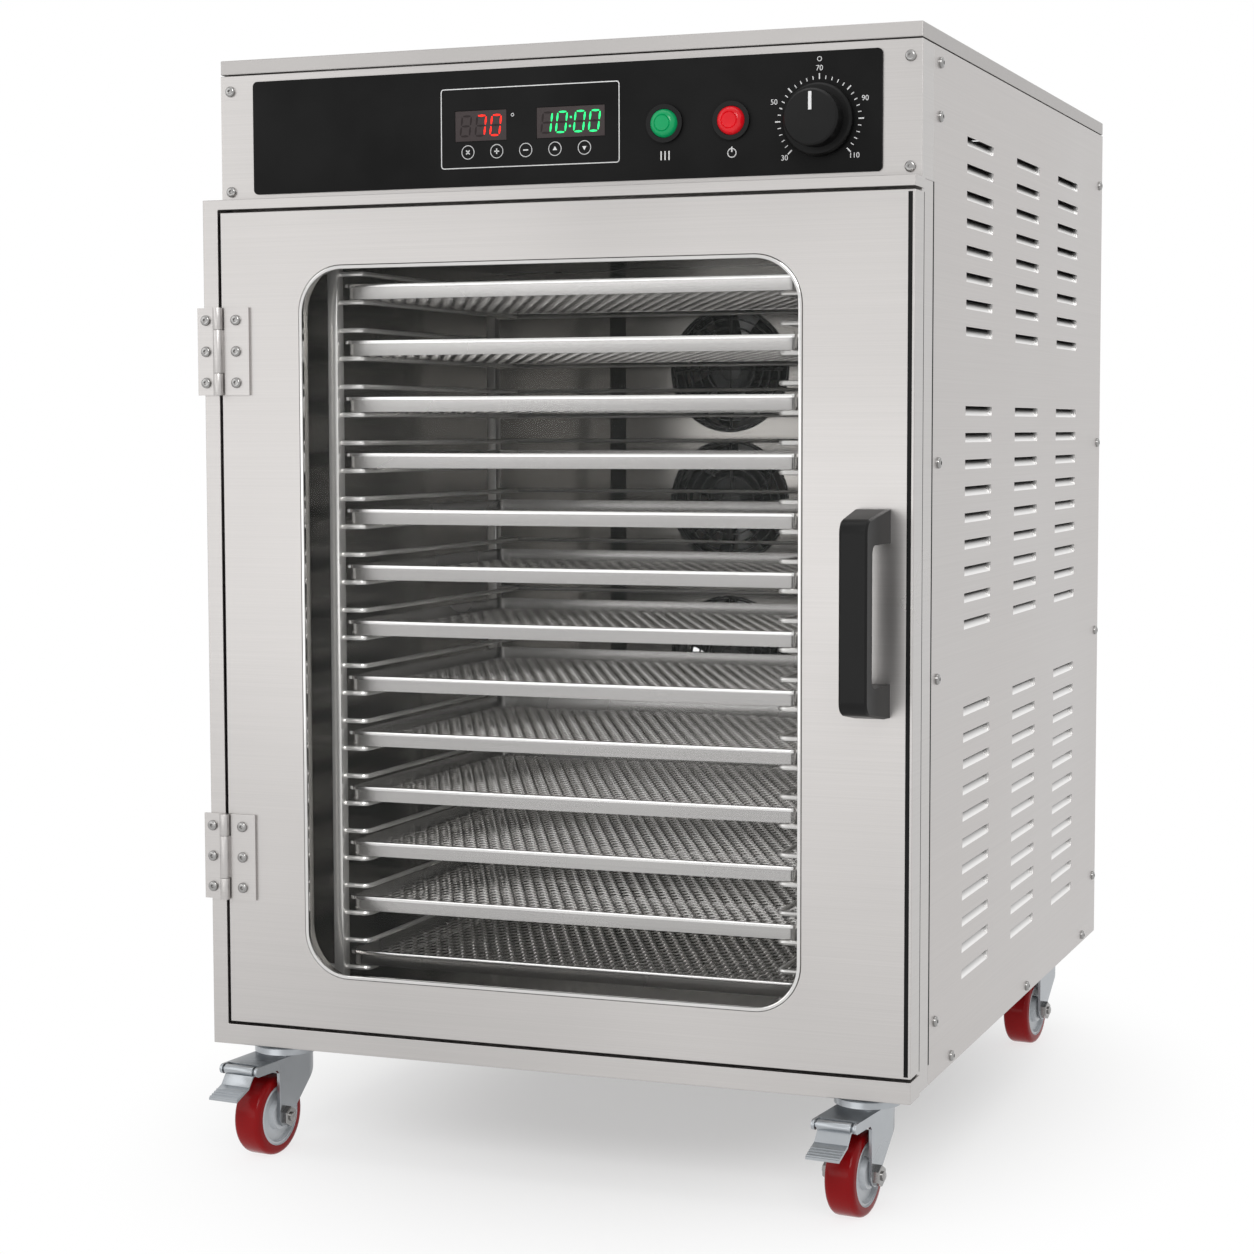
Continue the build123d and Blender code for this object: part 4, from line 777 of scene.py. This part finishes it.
# ---------------- screws
HEAD_R, HEAD_H = 4.3 * MM, 2.6 * MM
HEAD_SIDES = 18
CROWN, CROWN_STEPS = 1.7 * MM, 3
SOCKET_BORDER, SOCKET_DEPTH = 2.7 * MM, 1.5 * MM
HEADS_APART = 10 * MM


def button_screw():
    """A button head with a rounded crown and a socket, standing on the origin and looking up."""
    bpy.ops.mesh.primitive_cylinder_add(vertices=HEAD_SIDES, radius=HEAD_R, depth=HEAD_H,
                                        location=(0, 0, HEAD_H / 2))
    piece = bpy.context.object
    settle(piece)
    edit(piece)
    pick(piece, "FACE", lambda face: face.normal.z > FACING)
    bpy.ops.mesh.inset(thickness=SOCKET_BORDER)
    lift(-SOCKET_DEPTH)
    pick(piece, "EDGE", lambda edge: all(end.z > HEAD_H - NEAR and end.xy.length > HEAD_R - NEAR
                                         for end in edge_ends(piece, edge)))
    bpy.ops.mesh.bevel(offset=CROWN, segments=CROWN_STEPS, affect="EDGES")
    leave_edit()
    return piece


def heads_of(node):
    """Middle, thin axis and thickness of each separate head in a node of screws."""
    groups = []
    for vertex in NODES[node].data.vertices:
        for group in groups:
            if (vertex.co - group[0]).length < HEADS_APART:
                group.append(vertex.co.copy())
                break
        else:
            groups.append([vertex.co.copy()])
    for group in groups:
        lowest = Vector([min(co[i] for co in group) for i in range(3)])
        highest = Vector([max(co[i] for co in group) for i in range(3)])
        size = highest - lowest
        yield (lowest + highest) / 2, min(range(3), key=lambda i: size[i]), min(size)


def add_screws():
    """A modelled screw on each head of the solids, looking the way its panel faces."""
    pattern = button_screw()
    for node, body in (("cabinet_screws", "cabinet"), ("door_screws", "door")):
        copies = []
        for centre, axis, thick in heads_of(node):
            out = Vector((0, 0, 0))
            inside_door = node == "door_screws" and centre.x > 0
            out[axis] = 1 if centre[axis] > 0 or inside_door else -1
            base = centre - out * thick / 2
            turn = out.to_track_quat("Z", "Y").to_matrix().to_4x4()
            copies.append(twin(pattern, matrix=Matrix.Translation(base) @ turn))
        hand_over(join(copies), f"socket_{node}", SCREW_STEEL_PAINTED_SHADE, body, "stainless", node)
    bpy.data.objects.remove(pattern)


# ---------------- displays
PRINT_T = 0.12 * MM
PRINT_EDGE = 0.2 * PRINT_T
PANE_T, PANE_EDGE = 0.1 * MM, 0.04 * MM
SLANT = math.radians(7)
ALL_BARS = "abcdefg"
DIGIT_SHAPES = {"0": "abcdef", "1": "bc", "7": "abc", " ": ""}
COLON_GAP, COLON_HALF = 1.2 * MM, 0.8 * MM
# Shares of the window's width and height.
DIGITS_WIDE, DIGIT_TALL = 0.88, 0.66
# Shares of the digit's height.
HALF_WIDE, BAR_WIDE, COLON_RISE = 0.25, 0.10, 0.22
# Shares of the bar's own width and length.
BAR_GAP, BAR_SWELL, BAR_STRETCH = 0.7, 1.1, 1.08


def printed(x0, x1, z0, z1, y):
    """A thin flat mark on the panel."""
    return soften(box(x0, x1, y - PRINT_T, y, z0, z1), PRINT_EDGE, 1)


def digit(x, z, height, bars, y):
    """The bars asked for of one slanted seven-segment digit."""
    half_h, half_w, thick = height / 2, height * HALF_WIDE, height * BAR_WIDE
    places = {"a": (0, half_h, 0), "g": (0, 0, 0), "d": (0, -half_h, 0), "b": (half_w, half_h / 2, 1),
              "c": (half_w, -half_h / 2, 1), "e": (-half_w, -half_h / 2, 1), "f": (-half_w, half_h / 2, 1)}
    pieces = []
    for name in bars:
        dx, dz, upright = places[name]
        here = Vector((x + dx + dz * math.tan(SLANT), y - PRINT_T / 2, z + dz))
        length = (half_h if upright else 2 * half_w) - thick * BAR_GAP
        bpy.ops.mesh.primitive_cylinder_add(vertices=6, radius=0.5, depth=1.0, location=here)
        bar = bpy.context.object
        bar.rotation_euler = UPRIGHT
        bar.scale = (length * BAR_STRETCH, thick * BAR_SWELL, PRINT_T)
        settle(bar)
        if upright:
            spin(bar, here, math.pi / 2 + SLANT)
        pieces.append(soften(bar, PRINT_EDGE, 1))
    return pieces


def display(name, x0, x1, z0, z1, front, text, material):
    """A smoked window with the lit and the unlit bars of its digits."""
    pane = box(x0, x1, front - PANE_T, front + PANE_T, z0, z1, edge=PANE_EDGE)
    hand_over(pane, f"{name}_window", WINDOW_SMOKE, "cabinet", "display")
    signs = text.replace(":", "")
    x_mid, z_mid = (x0 + x1) / 2, (z0 + z1) / 2
    height = (z1 - z0) * DIGIT_TALL
    step = (x1 - x0) * DIGITS_WIDE / len(signs)
    start = x_mid - step * (len(signs) - 1) / 2
    lit_y, dark_y = front - PANE_T - PRINT_T, front - PANE_T - PRINT_T / 2
    lit_bars, dark_bars = [], []
    for i, sign in enumerate(signs):
        x = start + step * i
        if ":" in text:
            x += -COLON_GAP if i < text.index(":") else COLON_GAP
        lit_bars += digit(x, z_mid, height, DIGIT_SHAPES[sign], lit_y)
        dark_bars += digit(x, z_mid, height, sorted(set(ALL_BARS) - set(DIGIT_SHAPES[sign])), dark_y)
    if ":" in text:
        for rise in (-COLON_RISE * height, COLON_RISE * height):
            dot_x, dot_z = x_mid + rise * math.tan(SLANT), z_mid + rise
            lit_bars.append(printed(dot_x - COLON_HALF, dot_x + COLON_HALF,
                                    dot_z - COLON_HALF, dot_z + COLON_HALF, lit_y))
    hand_over(join(lit_bars), f"{name}_digits", material, "cabinet", "display")
    hand_over(join(dark_bars), f"{name}_unlit_bars", DIGIT_UNLIT, "cabinet", "display")


def add_displays():
    """The two windows of the display module, at its two raised front faces."""
    front = low("display_module").y
    face = [vertex.co for vertex in NODES["display_module"].data.vertices if vertex.co.y < front + NEAR]
    xs = sorted({round(co.x, 5) for co in face})
    z0, z1 = min(co.z for co in face), max(co.z for co in face)
    display("temperature", xs[0], xs[1], z0, z1, front, " 70", DIGIT_RED)
    display("time", xs[-2], xs[-1], z0, z1, front, "10:00", DIGIT_GREEN)


# ---------------- printed marks
OUTLINE_HALF_H = 31 * MM
OUTLINE_W, OUTLINE_R = 0.7 * MM, 2.5 * MM
KEYS = ("cross", "plus", "minus", "up", "down")
KEY_START, KEY_STEP, KEY_RISE = 23 * MM, 24.5 * MM, 12.5 * MM
KEY_R, SIGN_HALF, SIGN_LINE = 5.2 * MM, 2.1 * MM, 0.45 * MM
RING_LINE = 0.3 * MM
DEGREE_ACROSS, DEGREE_RISE, DEGREE_R = 61 * MM, 9 * MM, 1.1 * MM
LAMP_SIGN_DROP = 24 * MM
STROKE_HALF = 0.5 * MM
HEAT_STEP, HEAT_HALF_H = 3.2 * MM, 3.4 * MM
POWER_R, POWER_LINE = 3.3 * MM, 0.4 * MM
POWER_LOW, POWER_HIGH = 0.6 * MM, 4.6 * MM
DIAL_SWEEP = 270
DIAL_TICKS = 30
LONG_EVERY = 5
DIAL_NUMBERS = ("30", "50", "70", "90", "110")
DIAL_GAP, NUMBER_OUT, NUMBER_H = 3.2 * MM, 8.0 * MM, 5.6 * MM
LONG_TICK, LONG_HALF_W = 4.2 * MM, 0.5 * MM
SHORT_TICK, SHORT_HALF_W = 2.6 * MM, 0.35 * MM
DIAL_MARK_RISE, DIAL_MARK_R = 45 * MM, 1.6 * MM


def print_frame(x0, x1, z0, z1, y):
    """A thin rounded outline."""
    piece = rounded_sheet(((x0 + x1) / 2, y, (z0 + z1) / 2), x1 - x0, z1 - z0, OUTLINE_R, UPRIGHT)
    bpy.ops.mesh.inset(thickness=OUTLINE_W)
    bpy.ops.mesh.delete(type="FACE")
    leave_edit()
    thick = piece.modifiers.new("print", "SOLIDIFY")
    thick.thickness = PRINT_T
    thick.offset = 1.0
    return apply_all(piece)


def print_ring(x, z, radius, line, y, around=32):
    """A thin printed circle."""
    return ring((x, y, z), radius, line, around=around, sides=4)


def key_sign(kind, x, z, y):
    """A generic sign on a key: cross, arrows, plus or minus."""
    if kind in ("up", "down"):
        bpy.ops.mesh.primitive_cylinder_add(vertices=3, radius=SIGN_HALF, depth=PRINT_T,
                                            location=(x, y - PRINT_T / 2, z))
        arrow = bpy.context.object
        arrow.rotation_euler = (math.pi / 2, math.pi if kind == "down" else 0.0, 0.0)
        return [soften(settle(arrow), PRINT_EDGE, 1)]
    bars = [printed(x - SIGN_HALF, x + SIGN_HALF, z - SIGN_LINE, z + SIGN_LINE, y)]
    if kind in ("plus", "cross"):
        bars.append(printed(x - SIGN_LINE, x + SIGN_LINE, z - SIGN_HALF, z + SIGN_HALF, y))
    if kind == "cross":
        bars = [spin(bar, Vector((x, y, z)), math.radians(45)) for bar in bars]
    return bars


def number(text, x, z, size, y):
    """A printed number, centred on a point."""
    bpy.ops.object.text_add(location=(x, y, z), rotation=UPRIGHT)
    label = bpy.context.object
    label.data.body = text
    label.data.size = size
    label.data.extrude = PRINT_T / 2
    label.data.align_x = "CENTER"
    label.data.align_y = "CENTER"
    take(label)
    bpy.ops.object.convert(target="MESH")
    return settle(bpy.context.object)


def display_marks(y):
    """The outline round the displays, the five keys and the degree sign."""
    x0, x1 = low("display_module").x, high("display_module").x
    z_mid = middle("control_overlay").z
    z0, z1 = z_mid - OUTLINE_HALF_H, z_mid + OUTLINE_HALF_H
    marks = [print_frame(x0, x1, z0, z1, y)]
    for i, kind in enumerate(KEYS):
        x = x0 + KEY_START + i * KEY_STEP
        marks.append(print_ring(x, z0 + KEY_RISE, KEY_R, RING_LINE, y))
        marks += key_sign(kind, x, z0 + KEY_RISE, y)
    marks.append(print_ring(x0 + DEGREE_ACROSS, z_mid + DEGREE_RISE, DEGREE_R, RING_LINE, y, around=20))
    return marks


def lamp_marks(y):
    """Three heat strokes under the lamp and the power sign under the button."""
    heating, power = middle("heating_lamp"), middle("power_button")
    z = heating.z - LAMP_SIGN_DROP
    marks = []
    for i in (-1, 0, 1):
        x = heating.x + i * HEAT_STEP
        marks.append(printed(x - STROKE_HALF, x + STROKE_HALF, z - HEAT_HALF_H, z + HEAT_HALF_H, y))
    marks.append(print_ring(power.x, z, POWER_R, POWER_LINE, y))
    marks.append(printed(power.x - STROKE_HALF, power.x + STROKE_HALF, z + POWER_LOW, z + POWER_HIGH, y))
    return marks


def dial_marks(y):
    """Ticks round the knob, with a number at every few of them and a small ring above."""
    knob = middle("temperature_knob")
    radius = (high("temperature_knob").x - low("temperature_knob").x) / 2 + DIAL_GAP
    marks = []
    for i in range(DIAL_TICKS + 1):
        turn = math.radians(-DIAL_SWEEP / 2 + DIAL_SWEEP * i / DIAL_TICKS)
        length, half_w = (SHORT_TICK, SHORT_HALF_W) if i % LONG_EVERY else (LONG_TICK, LONG_HALF_W)
        mark = printed(knob.x - half_w, knob.x + half_w, knob.z + radius, knob.z + radius + length, y)
        marks.append(spin(mark, Vector((knob.x, y, knob.z)), turn))
    last = len(DIAL_NUMBERS) - 1
    out = radius + NUMBER_OUT
    for i, text in enumerate(DIAL_NUMBERS):
        turn = math.radians(-DIAL_SWEEP / 2 + DIAL_SWEEP * i / last)
        marks.append(number(text, knob.x + out * math.sin(turn), knob.z + out * math.cos(turn), NUMBER_H,
                            y - PRINT_T / 2))
    marks.append(print_ring(knob.x, knob.z + DIAL_MARK_RISE, DIAL_MARK_R, RING_LINE, y, around=20))
    return marks


def add_print():
    """Everything printed on the black panel, as one piece."""
    y = low("control_overlay").y
    marks = display_marks(y) + lamp_marks(y) + dial_marks(y)
    hand_over(join(marks), "panel_print", PRINT_WHITE, "cabinet", "black_panel")


# ---------------- lenses and knob
LENS_SIDES = 48
DOME_R, DOME_STEPS = 5.5 * MM, 6
GROOVE_W, GROOVE_RISE_W, GROOVE_D = 0.5 * MM, 0.6 * MM, 0.7 * MM
POINTER_HALF_W, POINTER_EDGE = 1.25 * MM, 0.15 * MM
POINTER_PROUD, POINTER_SUNK = 0.05 * MM, 0.6 * MM
POINTER_FROM, POINTER_TO = 5.0 * MM, 18.4 * MM


def add_lenses():
    """Domed lenses with a ring groove in the two collars."""
    for node, material, body, slot in (("heating_lamp", GREEN_LENS, "cabinet", "green_lens"),
                                       ("power_button", RED_LENS, "button", "red_lens")):
        lowest, highest = low(node), high(node)
        centre = (lowest + highest) / 2
        piece = rod((centre.x, highest.y, centre.z), (centre.x, lowest.y, centre.z),
                    (highest.x - lowest.x) / 2, sides=LENS_SIDES)
        edit(piece)
        pick(piece, "EDGE", lambda edge: all(end.y < lowest.y + NEAR for end in edge_ends(piece, edge)))
        bpy.ops.mesh.bevel(offset=DOME_R, segments=DOME_STEPS, affect="EDGES")
        pick(piece, "FACE", lambda face: face.center.y < lowest.y + NEAR)
        bpy.ops.mesh.inset(thickness=GROOVE_W, depth=-GROOVE_D)
        bpy.ops.mesh.inset(thickness=GROOVE_RISE_W, depth=GROOVE_D)
        leave_edit()
        hand_over(piece, f"lens_{node}", material, body, slot, node, angle=40)


def add_knob_pointer():
    """The white line on the knob's face."""
    centre, face_y = middle("temperature_knob"), low("temperature_knob").y
    line = box(centre.x - POINTER_HALF_W, centre.x + POINTER_HALF_W, face_y - POINTER_PROUD,
               face_y + POINTER_SUNK, centre.z + POINTER_FROM, centre.z + POINTER_TO, edge=POINTER_EDGE)
    hand_over(line, "knob_pointer", PRINT_WHITE, "knob", "knob")


# ---------------- wheels
WHEEL_R, WHEEL_W, WHEEL_SIDES = 33 * MM, 24 * MM, 56
TYRE_T = 8.0 * MM
SHOULDER, SHOULDER_STEPS = 4.5 * MM, 4
# Width and rise in millimetres of each ring of the core, from the tyre inwards.
CORE_RINGS = ((0.5, -1.2), (2.2, 0.8), (0.8, -3.0), (9.0, 0.0), (1.2, 4.6), (2.4, 0.6))
FORK_FACE = 18 * MM
NUT_R, NUT_H, NUT_BORDER, NUT_RISE = 8.3 * MM, 4.6 * MM, 0.9 * MM, 0.7 * MM
BOLT_R, BOLT_H, BOLT_BORDER, BOLT_RISE = 3.8 * MM, 6.6 * MM, 0.8 * MM, 0.5 * MM


def wheel():
    """A wheel about the X axis: tyre with rounded shoulders, dished core, rim ring and boss."""
    piece = rod((-WHEEL_W / 2, 0, 0), (WHEEL_W / 2, 0, 0), WHEEL_R, sides=WHEEL_SIDES)

    def on_shoulder(edge):
        ends = edge_ends(piece, edge)
        return all(end.yz.length > WHEEL_R - NEAR for end in ends) and abs(ends[0].x - ends[1].x) < NEAR

    edit(piece)
    pick(piece, "FACE", lambda face: abs(face.normal.x) > FACING)
    bpy.ops.mesh.inset(thickness=TYRE_T)
    for width, rise in CORE_RINGS:
        bpy.ops.mesh.inset(thickness=width * MM, depth=rise * MM)
    pick(piece, "EDGE", on_shoulder)
    bpy.ops.mesh.bevel(offset=SHOULDER, segments=SHOULDER_STEPS, affect="EDGES")
    leave_edit()
    piece.data.materials.append(TYRE_RED)
    piece.data.materials.append(HUB_GREY)
    for face in piece.data.polygons:
        face.material_index = 1 if face.center.yz.length < WHEEL_R - TYRE_T else 0
    return piece


def standing_end(side, radius, reach, sides, border, rise):
    """A nut or a bolt end that stands out from the fork along the X axis, chamfered at its end."""
    x = side * FORK_FACE
    piece = rod((x, 0, 0), (x + side * reach, 0, 0), radius, sides=sides)
    edit(piece)
    pick(piece, "FACE", lambda face: abs(face.normal.x) > FACING)
    bpy.ops.mesh.inset(thickness=border, depth=rise)
    leave_edit()
    return piece


def axle_bolt():
    """Hexagonal nuts and a bolt end on both sides of the fork, about the X axis."""
    pieces = []
    for side in (-1, 1):
        pieces.append(standing_end(side, NUT_R, NUT_H, 6, NUT_BORDER, NUT_RISE))
        pieces.append(standing_end(side, BOLT_R, BOLT_H, 16, BOLT_BORDER, BOLT_RISE))
    return join(pieces)


def add_wheels():
    """One wheel is modelled and set at each corner, along that wheel's own axle."""
    pattern, bolt = wheel(), axle_bolt()
    for corner in CORNERS:
        node = f"caster_wheel_{corner}"
        axle = Vector(JOINTS[f"wheel_roll_{corner}"]["axis"])
        place = Matrix.Translation(middle(node)) @ Matrix.Rotation(math.atan2(axle.y, axle.x), 4, "Z")
        hand_over(twin(pattern, matrix=place), f"wheel_{corner}", None, f"wheel_{corner}", "red_wheel",
                  node, angle=30)
        hand_over(twin(bolt, matrix=place), f"axle_bolt_{corner}", SCREW_STEEL_PAINTED_SHADE, f"swivel_{corner}",
                  "zinc_steel")
    for piece in (pattern, bolt):
        bpy.data.objects.remove(piece)


# ---------------- seams: black strips as painted shade in grooves and gaps
SEAM_EDGE = 0.05 * MM
FOLD_OUT, FOLD_IN, FOLD_END = 2.0 * MM, 5.4 * MM, 1.5 * MM
FOLD_PROUD, FOLD_SUNK = 0.06 * MM, 0.3 * MM
SEAM_PROUD, SEAM_SUNK = 0.1 * MM, 0.5 * MM
SEAM_FRONT, SEAM_REAR = 0.9 * MM, 1.6 * MM
SEAM_H = 670 * MM
GAP_OUT, GAP_IN = 0.5 * MM, 1.4 * MM
GAP_FRONT, GAP_REAR = 2.6 * MM, 0.2 * MM


def add_seams():
    """Black strips as painted shade: along the door's free edge, where they also stand for the fold's dark
    reflection, in the gap behind it and in the seams of the side panels.
    """
    door_low, door_high = low("door_skin"), high("door_skin")
    # A black strip on the door's fold: painted shade and painted dark reflection.
    fold = box(door_high.x - FOLD_IN, door_high.x - FOLD_OUT,
               door_low.y - FOLD_PROUD, door_low.y + FOLD_SUNK,
               door_low.z + FOLD_END, door_high.z - FOLD_END, edge=SEAM_EDGE)
    hand_over(fold, "door_edge_fold_painted_shade", SEAM_PAINTED_SHADE, "door", "black_plastic")
    frame_high = high("front_frame")
    step_y = low("right_side_panel").y
    face_y = low("control_fascia").y
    seams = []
    # Black strips in the side panels' seams and in the door gap: painted shade.
    for side in (-1, 1):
        x = side * high("right_side_panel").x
        seams.append(box(x - side * SEAM_SUNK, x + side * SEAM_PROUD,
                         step_y - SEAM_FRONT, step_y + SEAM_REAR,
                         frame_high.z - SEAM_H, frame_high.z, edge=SEAM_EDGE))
        x = side * frame_high.x
        seams.append(box(x - side * GAP_IN, x - side * GAP_OUT, face_y - GAP_FRONT, face_y + GAP_REAR,
                         door_low.z, door_high.z, edge=SEAM_EDGE))
    hand_over(join(seams), "cabinet_seams_painted_shade", SEAM_PAINTED_SHADE, "cabinet", "black_plastic")


add_trays()
add_racks()
add_fan_guards()
add_screws()
add_displays()
add_print()
add_lenses()
add_knob_pointer()
add_wheels()
add_seams()


# ---------------- camera, floor and light
CAMERA_LENS, CAMERA_SENSOR = 75.77, 36.0
CAMERA_PLACE = (0.7832, -2.2228, 0.5939)
CAMERA_TURN = (90.0 - 4.28, 0.13, 20.77)
STUDIO_LIGHT = 0.45
FLOOR_SIZE = 30.0
# Distances from the middle in half widths and half depths, and the white that the floor starts with.
FADE_START, FADE_END, FADE_WHITE = 0.4, 1.7, 0.38
WHITE = (1.0, 1.0, 1.0, 1.0)


def add_camera():
    """The camera that the scene is looked at through."""
    data = bpy.data.cameras.new("camera")
    data.lens = CAMERA_LENS
    data.sensor_width = CAMERA_SENSOR
    camera = bpy.data.objects.new("camera", data)
    bpy.context.scene.collection.objects.link(camera)
    camera.location = CAMERA_PLACE
    camera.rotation_euler = Euler([math.radians(angle) for angle in CAMERA_TURN], "XYZ")
    bpy.context.scene.camera = camera


def mix_shaders(tree, factor, first, second, output):
    """Leads a mixture of two shaders to the output."""
    mix = tree.nodes.new("ShaderNodeMixShader")
    for source, target in ((factor, mix.inputs["Fac"]), (first, mix.inputs[1]), (second, mix.inputs[2]),
                           (mix.outputs[0], output)):
        tree.links.new(source, target)


def add_world():
    """An even white studio, which camera, glossy and transmission rays see as plain white."""
    world = bpy.data.worlds.new("studio")
    bpy.context.scene.world = world
    world.use_nodes = True
    tree = world.node_tree
    studio = tree.nodes["Background"]
    studio.inputs["Color"].default_value = WHITE
    studio.inputs["Strength"].default_value = STUDIO_LIGHT
    path = tree.nodes.new("ShaderNodeLightPath")
    seen = path.outputs["Is Camera Ray"]
    for ray in ("Is Glossy Ray", "Is Transmission Ray"):
        either = tree.nodes.new("ShaderNodeMath")
        either.operation = "MAXIMUM"
        tree.links.new(seen, either.inputs[0])
        tree.links.new(path.outputs[ray], either.inputs[1])
        seen = either.outputs[0]
    white = tree.nodes.new("ShaderNodeBackground")
    white.inputs["Color"].default_value = WHITE
    surface = tree.nodes["World Output"].inputs["Surface"]
    mix_shaders(tree, seen, studio.outputs[0], white.outputs[0], surface)


def add_floor():
    """A pale floor that keeps the shadow near the machine and runs out into plain white."""
    bpy.ops.mesh.primitive_plane_add(size=FLOOR_SIZE, location=(0.0, 0.0, 0.0))
    floor = bpy.context.object
    floor.name = "floor"
    finish = Finish("floor_pale", even(0.93), roughness=0.9)
    tone = finish.grain(even(1.2), detail=1.0)
    finish.set_color(finish.blend(tone, even(0.92), even(0.94)))
    finish.set("Specular IOR Level", 0.0)
    footprint = finish.nodes.new("ShaderNodeMapping")
    footprint.inputs["Scale"].default_value = (1 / CAD_HIGH[0], 1 / CAD_HIGH[1], 0.0)
    finish.links.new(finish.place, footprint.inputs["Vector"])
    distance = finish.nodes.new("ShaderNodeVectorMath")
    distance.operation = "LENGTH"
    finish.links.new(footprint.outputs["Vector"], distance.inputs[0])
    fade = finish.between(distance.outputs["Value"], FADE_START, FADE_END, FADE_WHITE)
    fade.node.interpolation_type = "SMOOTHSTEP"
    white = finish.nodes.new("ShaderNodeEmission")
    mix_shaders(finish.material.node_tree, fade, finish.shader.outputs[0], white.outputs[0],
                finish.nodes["Material Output"].inputs["Surface"])
    floor.data.materials.append(finish.material)


def add_lamp(name, place, aim, size, power):
    """A rectangular soft lamp turned to a point."""
    data = bpy.data.lights.new(name, "AREA")
    data.shape = "RECTANGLE"
    data.size, data.size_y = size
    data.energy = power
    lamp = bpy.data.objects.new(name, data)
    bpy.context.scene.collection.objects.link(lamp)
    lamp.location = place
    lamp.rotation_euler = (Vector(aim) - Vector(place)).to_track_quat("-Z", "Y").to_euler()


add_camera()
add_world()
add_floor()
add_lamp("key", (1.2, -3.2, 2.4), (0.1, 0.0, 0.5), (1.4, 1.4), 40.0)
add_lamp("fill", (-2.8, -2.6, 1.8), (0.0, 0.0, 0.4), (2.4, 2.4), 16.0)
add_lamp("front", (-0.8, -2.9, 0.36), (0.0, -0.34, 0.36), (1.9, 0.62), 4.5)
add_lamp("top", (0.0, 0.2, 3.6), (0.0, 0.0, 0.0), (3.0, 3.0), 26.0)
